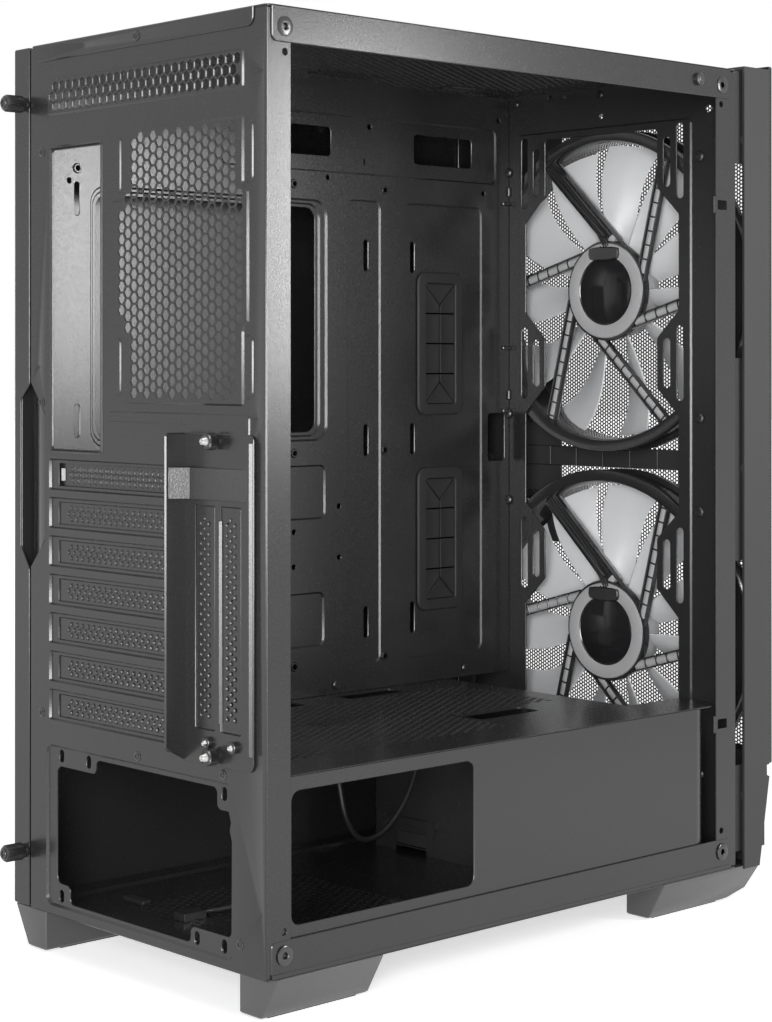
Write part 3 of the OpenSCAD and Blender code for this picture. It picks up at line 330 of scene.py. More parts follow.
def finish(name, colour, rough, grain=900.0, bump=0.25, metallic=0.0, specular=0.5, change=0.12,
           see_through=0.0):
    """A procedural finish: fine grain in the bump and gloss, and a soft change of tone."""
    found = bpy.data.materials.get(name)
    if found:
        return found
    m = bpy.data.materials.new(name)
    m.use_nodes = True
    nodes, links = m.node_tree.nodes, m.node_tree.links
    shader = nodes["Principled BSDF"]
    where = nodes.new("ShaderNodeTexCoord")

    def noise(scale, detail):
        """Noise of the piece's own coordinates."""
        n = nodes.new("ShaderNodeTexNoise")
        n.inputs["Scale"].default_value = scale
        n.inputs["Detail"].default_value = detail
        links.new(where.outputs["Object"], n.inputs["Vector"])
        return n

    def spread(source, low, high, a, b):
        """Maps what lies between a and b to low and high."""
        n = nodes.new("ShaderNodeMapRange")
        n.inputs["From Min"].default_value, n.inputs["From Max"].default_value = a, b
        n.inputs["To Min"].default_value, n.inputs["To Max"].default_value = low, high
        links.new(source, n.inputs["Value"])
        return n.outputs["Result"]

    fine, broad = noise(grain, 2.0), noise(BROAD_SCALE, 3.0)
    ramp = nodes.new("ShaderNodeMix")
    ramp.data_type = "RGBA"
    ramp.inputs["A"].default_value = (*(c * (1 - change) for c in colour), 1)
    ramp.inputs["B"].default_value = (*(min(1, c * (1 + change)) for c in colour), 1)
    mixed = nodes.new("ShaderNodeMath")
    mixed.operation = "MULTIPLY_ADD"
    links.new(fine.outputs["Fac"], mixed.inputs[0])
    mixed.inputs[1].default_value = 0.6
    links.new(spread(broad.outputs["Fac"], 0.0, 0.4, 0.3, 0.7), mixed.inputs[2])
    links.new(mixed.outputs[0], ramp.inputs["Factor"])
    links.new(ramp.outputs["Result"], shader.inputs["Base Color"])
    uneven = spread(fine.outputs["Fac"], rough * 0.85, min(1, rough * 1.15), 0.3, 0.7)
    links.new(uneven, shader.inputs["Roughness"])
    relief = nodes.new("ShaderNodeBump")
    relief.inputs["Strength"].default_value = bump
    relief.inputs["Distance"].default_value = GRAIN_DEPTH
    links.new(fine.outputs["Fac"], relief.inputs["Height"])
    links.new(relief.outputs["Normal"], shader.inputs["Normal"])
    shader.inputs["Metallic"].default_value = metallic
    shader.inputs["Specular IOR Level"].default_value = specular
    if see_through:
        thin = nodes.new("ShaderNodeBsdfTranslucent")
        thin.inputs["Color"].default_value = (*colour, 1)
        both = nodes.new("ShaderNodeMixShader")
        both.inputs["Fac"].default_value = see_through
        links.new(shader.outputs["BSDF"], both.inputs[1])
        links.new(thin.outputs["BSDF"], both.inputs[2])
        links.new(both.outputs[0], nodes["Material Output"].inputs["Surface"])
    return m


def sizes():
    """The sizes and tones that a user may change."""
    return bpy.context.scene.tower_sizes


def coated_steel():
    """Thin black powder coat on steel, half glossy."""
    return finish("black_powder_coat", tuple(sizes().steel), 0.24, grain=1100, bump=0.11)


def coarse_coat():
    """Thick powder coat with coarse, speckled grain."""
    return finish("coarse_powder_coat", (0.026, 0.026, 0.027), 0.34, grain=1300, bump=1.0, specular=0.6,
                  change=0.7)


def black_plastic():
    """Matt moulded plastic of the front panel and its buttons."""
    return finish("matt_black_plastic", tuple(sizes().plastic), 0.5, grain=1600, bump=0.2, specular=0.45)


def foot_plastic():
    """Smooth satin plastic of the feet."""
    return finish("satin_foot_plastic", (0.03, 0.03, 0.031), 0.36, bump=0.06, specular=0.95)


def gloss_plastic():
    """Polished black plastic of the fan frames."""
    return finish("glossy_black_plastic", (0.02, 0.02, 0.021), 0.16, grain=1500, bump=0.04, specular=0.6)


def gloss_label():
    """Glossy film on the fan hubs."""
    return finish("glossy_label_film", (0.012, 0.012, 0.013), 0.1, bump=0.02, specular=0.6)


def frosted():
    """Frosted white plastic of the blades, which lets light through."""
    return finish("frosted_blade_plastic", tuple(sizes().blade), 0.35, grain=600, bump=0.08, change=0.04,
                  see_through=0.4)


def smoky():
    """Smoky clear plastic of the struts."""
    return finish("smoky_clear_plastic", (0.58, 0.58, 0.59), 0.3, grain=700, bump=0.1, change=0.08,
                  see_through=0.4)


def black_screw():
    """Blackened screw steel."""
    return finish("satin_black_screw", (0.018, 0.018, 0.019), 0.3, grain=2400, bump=0.1, specular=0.6)


def zinc():
    """Bright zinc plate."""
    return finish("bright_zinc", (0.5, 0.5, 0.49), 0.26, grain=1800, bump=0.12, metallic=1.0)


def dark_nickel():
    """Dark nickel plate of rivets and rings."""
    return finish("dark_nickel", (0.09, 0.09, 0.092), 0.24, grain=2200, bump=0.1, metallic=1.0)


def rubber():
    """Soft black rubber."""
    return finish("black_rubber", (0.02, 0.02, 0.021), 0.6, grain=1400, specular=0.35)


def sheath():
    """Satin sheath of cables and plugs."""
    return finish("satin_black_sheath", (0.016, 0.016, 0.017), 0.35, grain=1800, bump=0.1)


def board_green():
    """Green lacquer of a circuit board."""
    return finish("board_green", (0.012, 0.06, 0.025), 0.4, grain=700, bump=0.08)


def carried(node, material, width=0.25, segments=2):
    """A CAD node that keeps its shape: broken edges and the real finish."""
    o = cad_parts[node]
    o.data.materials.clear()
    o.data.materials.append(material)
    weld = o.modifiers.new("weld", "WELD")
    weld.merge_threshold = 0.00002
    bevel = o.modifiers.new("broken_edges", "BEVEL")
    bevel.width, bevel.segments = width / 1000, segments
    bevel.limit_method, bevel.angle_limit = "ANGLE", math.radians(35)
    bevel.harden_normals = False
    return o


# ---------- sizes and tones a user may change ----------
def length(name, about, value):
    """A length given in millimetres and kept in metres."""
    return bpy.props.FloatProperty(name=name, description=about, default=value / 1000, min=0, unit="LENGTH")


def tone(name, about, value):
    """A colour, linear."""
    return bpy.props.FloatVectorProperty(name=name, description=about, default=value, subtype="COLOR",
                                         min=0, max=1)


class TowerSizes(bpy.types.PropertyGroup):
    """Sizes and colours of the tower's looks"""
    press: length("Pressing depth", "Depth of the fields pressed into the tray", 0.9)
    corner: length("Sheet corner", "Width of the broken edge of the rear panel", 0.45)
    hex_pitch: length("Grille pitch", "Distance between two holes of the rear grille", 6.0)
    hex_width: length("Grille hole", "Width of a hole of the rear grille over its corners", 5.6)
    vent_pitch: length("Vent pitch", "Distance between two holes in roof, floor and bay cover", 5.5)
    vent_width: length("Vent hole", "Width of those holes over their corners", 4.4)
    mesh_pitch: length("Front mesh pitch", "Distance between two holes of the front mesh", 2.25)
    mesh_width: length("Front mesh hole", "Width of those holes over their corners", 1.7)
    cable: length("Cable diameter", "Diameter of the front cable's sheath", 3.0)
    blade: tone("Fan blades", "Colour of the frosted blades", (0.72, 0.725, 0.735))
    steel: tone("Steel", "Colour of the coated steel", (0.017, 0.017, 0.0175))
    plastic: tone("Plastic", "Colour of the black plastic", (0.024, 0.024, 0.025))
    blades: bpy.props.IntProperty(name="Blades", description="Blades of a front fan", default=11,
                                  min=3, max=15)


def size(name):
    """One of the tower's sizes in millimetres."""
    return getattr(sizes(), name) * 1000


# ---------- stage ----------
# Lamps: name, place, aim, width, height and watts.
LAMPS = [("key", Vector((-1.17, 1.43, 0.44)), Vector((0, 0.19, 0.26)), 0.66, 0.84, 36),
         ("front_left", ORIGIN + Vector((-0.60, -0.58, 0.41)), ORIGIN + Vector((0.18, -0.03, 0.35)),
          0.12, 0.30, 2.8),
         ("top", Vector((-0.2, 0.3, 2.2)), Vector((0, 0, 0.3)), 1.6, 1.6, 12)]
AMBIENT = 0.25                                   # light of the surroundings on the tower
FLOOR_TONE = 0.8
# The floor's own glow rises from the tower outwards, so its far part reads white.
GLOW_NEAR, GLOW_FAR, GLOW_FROM, GLOW_TO = 0.6, 1.0, 0.6, 2.0
CAMERA_PLACE = ORIGIN + Vector((-0.79308, 0.67771, 0.29277))
CAMERA_TURN = (math.radians(90.06), 0, math.radians(228))
LENS, SENSOR, SHIFT = 77.98, 36, (0.0598, -0.1483)


class TowerStage(bpy.types.Operator):
    """Floor, plain lights, white surroundings and the camera"""
    bl_idname = "tower.stage"
    bl_label = "Stage"

    def execute(self, context):
        scene = context.scene
        scene.view_settings.view_transform = "Standard"
        self.camera(scene)
        self.world(scene)
        self.floor(scene)
        for lamp in LAMPS:
            self.softbox(*lamp)
        return {"FINISHED"}

    def camera(self, scene):
        """The camera behind the open side, a little above the middle."""
        data = bpy.data.cameras.new("camera")
        camera = bpy.data.objects.new("camera", data)
        scene.collection.objects.link(camera)
        camera.location, camera.rotation_euler = CAMERA_PLACE, CAMERA_TURN
        data.lens, data.sensor_width = LENS, SENSOR
        data.shift_x, data.shift_y = SHIFT
        scene.camera = camera

    def softbox(self, name, place, aim, w, h, power):
        """A soft rectangular lamp that no camera sees."""
        data = bpy.data.lights.new(name, "AREA")
        data.shape, data.size, data.size_y, data.energy = "RECTANGLE", w, h, power
        lamp = bpy.data.objects.new(name, data)
        bpy.context.scene.collection.objects.link(lamp)
        lamp.location = place
        lamp.visible_camera = False
        lamp.rotation_euler = (aim - place).to_track_quat("-Z", "Y").to_euler()

    def seen(self, tree):
        """One where the camera, a mirror or clear plastic sees the surface."""
        path = tree.nodes.new("ShaderNodeLightPath")
        total = path.outputs["Is Camera Ray"]
        for extra in ("Is Glossy Ray", "Is Transmission Ray"):
            add = tree.nodes.new("ShaderNodeMath")
            add.operation = "MAXIMUM"
            tree.links.new(total, add.inputs[0])
            tree.links.new(path.outputs[extra], add.inputs[1])
            total = add.outputs[0]
        return total

    def world(self, scene):
        """White to the eye, dimmer as a light."""
        world = bpy.data.worlds.new("surroundings")
        scene.world = world
        world.use_nodes = True
        tree = world.node_tree
        tree.nodes.clear()
        mix, out = tree.nodes.new("ShaderNodeMixShader"), tree.nodes.new("ShaderNodeOutputWorld")
        tree.links.new(self.seen(tree), mix.inputs["Fac"])
        for socket, strength in ((1, AMBIENT), (2, 1.0)):
            white = tree.nodes.new("ShaderNodeBackground")
            white.inputs["Color"].default_value = (1, 1, 1, 1)
            white.inputs["Strength"].default_value = strength
            tree.links.new(white.outputs[0], mix.inputs[socket])
        tree.links.new(mix.outputs[0], out.inputs["Surface"])

    def floor(self, scene):
        """A wide pale floor that takes the tower's shadow."""
        mesh, half = bpy.data.meshes.new("floor"), 9
        mesh.from_pydata([(x, y, 0) for x, y in rect(-half, -half, half, half)], [], [(0, 1, 2, 3)])
        floor = bpy.data.objects.new("floor", mesh)
        scene.collection.objects.link(floor)
        m = bpy.data.materials.new("pale_floor")
        m.use_nodes = True
        tree = m.node_tree
        matt = tree.nodes["Principled BSDF"]
        matt.inputs["Base Color"].default_value = (FLOOR_TONE, FLOOR_TONE, FLOOR_TONE, 1)
        matt.inputs["Roughness"].default_value = 0.9
        glow, mix = tree.nodes.new("ShaderNodeEmission"), tree.nodes.new("ShaderNodeAddShader")
        share = tree.nodes.new("ShaderNodeMath")
        share.operation = "MULTIPLY"
        where, far = tree.nodes.new("ShaderNodeTexCoord"), tree.nodes.new("ShaderNodeVectorMath")
        far.operation = "LENGTH"
        glow_range = tree.nodes.new("ShaderNodeMapRange")
        for key, value in (("From Min", GLOW_FROM), ("From Max", GLOW_TO), ("To Min", GLOW_NEAR),
                           ("To Max", GLOW_FAR)):
            glow_range.inputs[key].default_value = value
        tree.links.new(where.outputs["Object"], far.inputs[0])
        tree.links.new(far.outputs["Value"], glow_range.inputs["Value"])
        tree.links.new(glow_range.outputs["Result"], share.inputs[1])
        tree.links.new(self.seen(tree), share.inputs[0])
        tree.links.new(share.outputs[0], glow.inputs["Strength"])
        tree.links.new(matt.outputs[0], mix.inputs[0])
        tree.links.new(glow.outputs[0], mix.inputs[1])
        tree.links.new(mix.outputs[0], tree.nodes["Material Output"].inputs["Surface"])
        mesh.materials.append(m)


# ---------- rear ----------
SLOT_PITCH = 20.32
SLOT_ZS = [233.2 - SLOT_PITCH * k for k in range(7)]
SLOT_X0, SLOT_X1, SLOT_H = TRAY_X - 108, TRAY_X - 9, 12.1
UPRIGHTS = [45.6, 25.9]                           # middles of the two upright covers
UPRIGHT_Z = (114, 223)
UPRIGHT_HALF = 7.4                                # half the width of their openings
COVER_DOT = 4.9                                   # distance between the dots of a slot cover
BRACKET_SCREWS = [254.4, 102.4]
BRACKET_SCREW_X = 36.5
PANEL_SCREWS = [BODY_H - 31, 30]
PANEL_SCREW_X = 200
SEAM_X = FACE_X1 - 0.3                            # left end of the rear face, at the seam
RECESS_X = 182.5                                  # where the finger recess begins to sink
RECESS_Z = (183, 198, 265, 281.5)


def upright_openings():
    """The two openings behind the upright covers, in the rear panel and in the bracket."""
    return [rounded(rect(x - UPRIGHT_HALF, UPRIGHT_Z[0], x + UPRIGHT_HALF, UPRIGHT_Z[1]), 0.8, 2)
            for x in UPRIGHTS]


class TowerRear(bpy.types.Operator):
    """Rear panel: vent, fan grille, connector opening, slot frames and power supply opening"""
    bl_idname = "tower.rear"
    bl_label = "Rear panel"

    def execute(self, context):
        # fan grille, wider where the upright fan slots lie
        grille = rounded([(17, 271.5), (112, 271.5), (112, 307), (114, 311), (122, 311), (122, 375),
                          (114, 375), (112, 379), (112, 410.5), (17, 410.5), (17, 379), (15.5, 375),
                          (13.3, 375), (13.3, 311), (15.5, 311), (17, 307)], 1.2, 2)
        core = offset(grille, -3.6)
        r = size("hex_width") / 2
        hexes = field(16.9, 272, 117, 411, size("hex_pitch"), r, keep=lambda x, z: inside(core, x, z))
        # vent strip above it
        vent_loop = rounded(rect(17.1, 423.2, 179.2, 442.6), 1.5, 2)
        vents = field(18.6, 423.9, 178, 441.9, size("hex_pitch"), r, rows=True)
        # connector opening: a lip pressed out, with a rim folded back in
        lip = rounded(rect(130.6, 244.6, 178.6, 407), 2.2, 3)
        mouth = rounded(rect(131.8, 245.8, 177.5, 405.8), 1.6, 3)
        opening = rounded(rect(132.9, 246.9, 176.4, 404.7), 1.4, 3)
        # power supply opening, with a step where the supply's corner is cut, and its screw slots
        psu_edge = rounded(rect(25.4, 4.7, 181, 90), 5, 5)
        psu = rounded([(59.5, 7.5), (161, 7.5), (161, 17), (172.6, 17), (172.6, 79), (138, 79), (138, 86.5),
                       (39, 86.5), (39, 76), (30.2, 76), (28.6, 71), (29.6, 67), (27.9, 62), (28.2, 15.6),
                       (59.5, 15.6)], [3, 3, 3, 4, 4, 3, 3, 3, 3, 1, 1, 1, 2, 3, 3], 4)
        psu_slots = [pill(x, z, 4, 6.7) for x, z in (
            (168.5, 84.6), (144.5, 84.6), (33.5, 84.2), (168.5, 10.6), (54.5, 10.6), (33.5, 10.6))]
        dishes = [(vent_loop, 0.8, 0.8, vents, []),
                  (grille, 0.9, 1.0, hexes, []),
                  (lip, 0.7, 0.8, [], [(mouth, -1.3, 0.7, [opening], [])]),
                  (psu_edge, -1.2, 1.2, [psu] + psu_slots, []),
                  (rounded([(12.7, 244.5), (60, 244.5), (60, 262), (124.8, 262), (124.8, 267.5),
                            (12.7, 267.5)], 2, 2), 0.6, 0.6, [], [])]
        for z in SLOT_ZS:
            hole = rounded(rect(SLOT_X0, z - SLOT_H / 2, SLOT_X1, z + SLOT_H / 2), 0.8, 2)
            dishes.append((rounded(rect(68, z - 8.3, TRAY_X - 1.6, z + 8.3), 1.3, 3), -1.2, 0.9, [hole], []))
        dents = [(4.5, 430.8), (4.9, 31.2), (8.2, 266), (188.5, 290)]
        dishes += [(disc(x, z, 1.9, 12), -0.6, 1.0, [], []) for x, z in dents]
        dishes += [(pill(x, z, 6.6, 30.6), 0.6, 0.6, [pill(x, z, 5, 29)], [])
                   for x in (13.4, 118) for z in (393.2, 290.2)]
        face = [(1, 0), (SEAM_X, 0), (SEAM_X, RECESS_Z[0]), (RECESS_X, RECESS_Z[1]), (RECESS_X, RECESS_Z[2]),
                (SEAM_X, RECESS_Z[3]), (SEAM_X, ROOF_Z), (1, ROOF_Z)]
        form = Form()
        form.sheet("y", -1, 0, rounded(face, 0.4, 1), upright_openings(), dishes, edge=size("corner"),
                   rim=0.2)
        self.recess(form)
        # flange at the open side, and the step and ledge under the side panel's fold
        form.sheet("x", 1, 2, rounded(rect(-15.6, 1, -0.5, ROOF_Z - 0.4), [0.6, 0, 0, 0.6], 2),
                   [disc(-11.8, 440.1, 1.8, 14), disc(-11.3, 22, 1.8, 14)], edge=0.3)
        for z0, z1 in ((3, RECESS_Z[0] - 0.5), (RECESS_Z[3] + 0.5, ROOF_Z - 2)):
            form.block((SEAM_X - 1, -3.6, z0), (SEAM_X, -0.4, z1))
            form.block((SEAM_X - 0.6, -3.6, z0), (LEDGE_X1, -2.6, z1))
        form.make("rear_panel_sheet", "chassis", "painted_steel", coated_steel(), ["rear_panel"])
        return {"FINISHED"}

    def recess(self, form):
        """Finger recess: the sheet sinks in a curve towards the seam, with closed ends."""
        low, high = RECESS_Z[:2], RECESS_Z[2:]
        steps = [(RECESS_X - 0.8, -0.03), (RECESS_X, 0), (185, 0.12), (188, 0.6), (191, 1.5), (194, 2.7),
                 (SEAM_X, 4.7), (SEAM_X + 0.1, 4.75), (203.4, 7.4)]
        rings = []
        for x, deep in steps:
            share = min(1, max(0, x - RECESS_X) / (SEAM_X - RECESS_X))
            z0, z1 = low[1] + (low[0] - low[1]) * share, high[0] + (high[1] - high[0]) * share
            # the brim stays under the sheet, and drops behind the seam
            brim = min(-deep, -0.5) if x < SEAM_X + 0.05 else -1.5
            rings.append(form.ring("x", x, [(-deep - 1, z0 - 1), (brim, z0 - 1), (brim, z0), (-deep, z0),
                                            (-deep, z1), (brim, z1), (brim, z1 + 1), (-deep - 1, z1 + 1)]))
        for a, b in zip(rings, rings[1:]):
            form.bridge("x", b, a)
        form.face("x", rings[0])
        form.face("x", rings[-1][::-1])


class TowerSlots(bpy.types.Operator):
    """Seven expansion slot covers"""
    bl_idname = "tower.slots"
    bl_label = "Slot covers"

    def execute(self, context):
        tab = strip([(TAB_X, 11), (TAB_X, -2.4), (TAB_X + 1.2, -3.5), (SLOT_X0 + 1, -3.5)], -0.9)
        tongue = [(SLOT_X1 - 3, -3.4), (SLOT_X1 - 1.2, -3.4), (SLOT_X1 - 1.2, -1.7), (SLOT_X1 - 1.6, -1.7)]
        for k, z in enumerate(SLOT_ZS):
            form = Form()
            dots = [disc(x, z + dz, 1.25 if k else 1.4, 10) for dz, late in ((-2.9, 0), (0, 0.5), (2.9, 0))
                    for x in [SLOT_X0 + 5 + COVER_DOT * (i + late) for i in range(19)] if x < SLOT_X1 - 6.5]
            if k:
                plate = rounded(rect(SLOT_X0 + 0.2, z - 5.85, SLOT_X1 - 0.2, z + 5.85), 0.8, 2)
                form.sheet("y", -2.9, -1.9, plate, dots, edge=0.25, rim=0.3)
            else:
                # the first cover lies deeper and shows its tongue
                plate = rounded(rect(SLOT_X0 - 2, z - 7.4, SLOT_X1 + 2, z + 7.4), 1.0, 2)
                form.sheet("y", -4.2, -3.3, plate, dots, edge=0.2, rim=0.4)
                form.sheet("z", z - 3.4, z + 3.4, tongue, edge=0.2)
            form.sheet("z", z - 9.2, z + 9.2, tab, edge=0.25)
            form.make(f"slot_cover_sheet_{k + 1}", "chassis", "painted_steel", coated_steel(),
                      [f"slot_cover_{k + 1}"])
        return {"FINISHED"}


class TowerBracket(bpy.types.Operator):
    """Bracket over the slot tabs, with its bridge and two upright covers"""
    bl_idname = "tower.bracket"
    bl_label = "Slot bracket"

    def execute(self, context):
        lo, hi = case_box("slot_bracket")
        x0, z0, z1 = lo.x, lo.z, hi.z
        form = Form()
        outline = rounded(rect(x0, z0, TAB_X, z1), [5, 0, 0, 3], 5)
        holes = upright_openings() + [disc(BRACKET_SCREW_X, z, 2.2) for z in BRACKET_SCREWS]
        form.sheet("y", 0.02, 1, outline, holes, edge=0.3, rim=0.2)
        # upright flange with a rolled edge, its ends cut on a slant
        side = rounded([(0.3, z0), (13.4, z0 + 7), (13.4, z1 - 1.5), (12.4, z1), (0.3, z1)], 0.8, 2)
        form.sheet("x", TAB_X - 1.5, TAB_X, side, edge=0.7)
        # bridge of bent sheet, from the plate up to the flange
        bridge = strip([(x0 + 3.2, 1.1), (TAB_X - 8, 3.4), (TAB_X - 0.4, 13)], 1.0)
        bow = Form()
        bow.sheet("z", 225.8, 241.2, bridge, edge=0.2)
        bow.make("bracket_bridge", "chassis", "painted_steel", coarse_coat())
        # ridge along the free edge, and one between the two covers
        free = [(x0 + 0.6, 0.9), (x0 + 3, 0.9), (x0 + 3, 2.3), (x0 + 1.9, 2.3)]
        form.sheet("z", z0 + 8, z1 - 4, free, edge=0.15)
        between = [(32.8, 0.8), (35.2, 0.8), (35.2, 1.9), (33.8, 1.9)]
        form.sheet("z", UPRIGHT_Z[0] + 4, UPRIGHT_Z[1] - 7, between, edge=0.15)
        form.make("slot_bracket_sheet", "chassis", "painted_steel", coated_steel(), ["slot_bracket"])
        for i, x in enumerate(UPRIGHTS):
            form = Form()
            dots = [disc(x + dx, UPRIGHT_Z[0] + 7 + COVER_DOT * (k + late), 1.2, 10)
                    for dx, late in ((-2.9, 0), (0, 0.5), (2.9, 0)) for k in range(20)]
            dots = [d for d in dots if max(p[1] for p in d) < UPRIGHT_Z[1] - 3]
            half = UPRIGHT_HALF - 0.3
            plate = rounded(rect(x - half, UPRIGHT_Z[0] + 0.3, x + half, UPRIGHT_Z[1] - 0.3), 0.8, 2)
            form.sheet("y", -0.4, 0.5, plate, dots, edge=0.25, rim=0.25)
            form.make(f"upright_cover_sheet_{i + 1}", "chassis", "painted_steel", coated_steel(),
                      [f"upright_cover_{i + 1}"])
        return {"FINISHED"}


# ---------- shell ----------
class TowerRoof(bpy.types.Operator):
    """Roof with its perforation, rear flange and side rail"""
    bl_idname = "tower.roof"
    bl_label = "Roof"

    def execute(self, context):
        form = Form()
        r = size("vent_width") / 2
        # two fields without holes, each with two long grooves
        solid = [rect(150, -224, 172, -168), rect(150, -330, 172, -275)]
        holes = field(28, -328, TRAY_X + 4, -44, size("vent_pitch"), r, rows=True,
                      keep=lambda x, y: not any(inside(b, x, y) for b in solid))
        grooves = [(pill(x, (b[0][1] + b[2][1]) / 2, 4, b[2][1] - b[0][1] - 6), -0.8, 1.0, [], [])
                   for b in solid for x in (156, 165)]
        deck = rounded(rect(0, FRONT_Y + 1, FACE_X1, 0), [2, 2, 3, 3], 3)
        tray = rounded(rect(20, -334, TRAY_X + 8, -38), 6, 4)
        form.sheet("z", ROOF_Z, BODY_H, deck, [], [(tray, -0.8, 1.2, holes, grooves)], edge=0.3, rim=0)
        flange = rounded(rect(9.6, BODY_H - 9.5, 191, BODY_H - 0.3), [4.5, 4.5, 0, 0], 4)
        form.sheet("y", 0, 1, flange, [], [(disc(146, BODY_H - 4.6, 1.8, 12), -0.4, 0.8, [], [])], edge=0.4)
        rail = rounded(rect(FRONT_Y + 6, BODY_H - 17.5, -3, BODY_H), [2.5, 3.5, 0, 0], 5)
        form.sheet("x", 0, 1, rail, [disc(y, GLASS_ZS[1], 3.4) for y in GLASS_YS], edge=0.4)
        form.block((FACE_X1 - 1, FRONT_Y + 1, 458), (FACE_X1, -2.4, BODY_H - 0.3))
        form.block((FACE_X1 - 0.7, FRONT_Y + 1, 458), (LEDGE_X1, -2.4, 459))
        form.make("roof_sheet", "chassis", "painted_steel", coated_steel(), ["roof_panel"])
        return {"FINISHED"}


class TowerFloor(bpy.types.Operator):
    """Floor pan with its perforation and side rail"""
    bl_idname = "tower.floor_pan"
    bl_label = "Floor pan"

    def execute(self, context):
        form = Form()
        holes = field(30, -156, 160, -36, size("vent_pitch"), size("vent_width") / 2, rows=True)
        pan = rounded(rect(0, FRONT_Y + 1, FACE_X1, -1), 2, 3)
        vented = rounded(rect(24, -164, 168, -28), 5, 4)
        form.sheet("z", 0, 1, pan, [], [(vented, 0, 0.8, holes, [])], edge=0.3, rim=0)
        rail = rounded(rect(FRONT_Y + 6, 2.6, -3, 18), [0, 0, 2.5, 2.5], 5)
        form.sheet("x", 0.5, 1.4, rail, [disc(y, GLASS_ZS[0], 3.4) for y in GLASS_YS], edge=0.4)
        hem = [(0.5, 0), (1.4, 0), (1.4, 3.4), (0.9, 3.4), (0, 2.6), (0, 0.5)]
        form.sheet("y", FRONT_Y + 6, -3, hem, edge=0.15)
        filter_sheet = Form()
        filter_sheet.block((22, -166, -1.2), (170, -26, -0.2), 0.4)
        filter_sheet.make("floor_dust_filter", "chassis", "black_plastic", black_plastic())
        form.block((FACE_X1 - 1, FRONT_Y + 1, 0.2), (FACE_X1, -2.4, 3))
        form.block((FACE_X1 - 0.7, FRONT_Y + 1, 1.8), (LEDGE_X1, -2.4, 2.8))
        form.make("floor_sheet", "chassis", "painted_steel", coated_steel(), ["floor_pan"])
        return {"FINISHED"}


class TowerSide(bpy.types.Operator):
    """Closed side panel with folded edges and a finger recess"""
    bl_idname = "tower.side_panel"
    bl_label = "Side panel"

    def execute(self, context):
        form = Form()
        z0, z1, y0 = 0.5, BODY_H - 0.5, FRONT_Y + 1.6
        x0 = CASE_W - 14.1                        # inner edge of the rear fold
        form.sheet("x", PANEL_X, CASE_W, rounded(rect(y0, z0, 0, z1), 1.0, 3), edge=0.45)
        middle = BODY_H / 2
        fold = rounded([(x0, z0), (CASE_W - 0.5, z0), (CASE_W - 0.5, z1), (x0, z1), (x0, middle + 49.5),
                        (x0 + 8, middle + 41.5), (x0 + 8, middle - 37.5), (x0, middle - 49.5)],
                       [1, 0, 0, 1, 2, 3, 3, 2], 3)
        form.sheet("y", -1, 0, fold, [disc(PANEL_SCREW_X, z, 2.2) for z in PANEL_SCREWS], edge=0.35)
        # wall behind the finger recess
        form.block((x0 + 8, -9.4, middle - 50), (x0 + 9, -0.9, middle + 50))
        for z in (z0, z1 - 1):
            form.block((x0, y0, z), (PANEL_X + 0.4, -0.8, z + 1))
        form.make("side_panel_sheet", "side_panel", "painted_steel", coated_steel(), ["right_side_panel"])
        return {"FINISHED"}


# ---------- front and inside ----------
SIDES = ("upper", "lower")
FANS = [mm((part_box(f"fan_frame_{i}")[0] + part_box(f"fan_frame_{i}")[1]) / 2) for i in SIDES]
FAN_X, FAN_ZS = FANS[0].x, [f.z for f in FANS]
FAN_Y0, FAN_Y1 = (corner.y for corner in case_box("fan_frame_upper"))
FAN_HOLE = 77                                     # from a fan's axis to its screws, both ways
FIELD_Z = (FAN_ZS[0] + FAN_ZS[1]) / 2
NOTCHES = (383, 84.5)                             # hooks in the front flange


def mirrored(loop, middle):
    """The loop mirrored across an upright line, still counter-clockwise."""
    return [(2 * middle - x, z) for x, z in reversed(loop)]


def head(form, axis, centre, r, base, top, cross=0.62):
    """A domed screw head with a cross recess; top lies on either side of base along the axis."""
    a, w = r * cross, r * 0.17
    x, z = centre
    star = [(x + w, z - a), (x + w, z - w), (x + a, z - w), (x + a, z + w), (x + w, z + w), (x + w, z + a),
            (x - w, z + a), (x - w, z + w), (x - a, z + w), (x - a, z - w), (x - w, z - w), (x - w, z - a)]
    lo, hi = min(base, top), max(base, top)
    recess = (star, (base - top) * 0.45, 0.12, [], [])
    form.sheet(axis, lo, hi, disc(x, z, r, 24), [], [recess], edge=min(r * 0.28, (hi - lo) * 0.45))


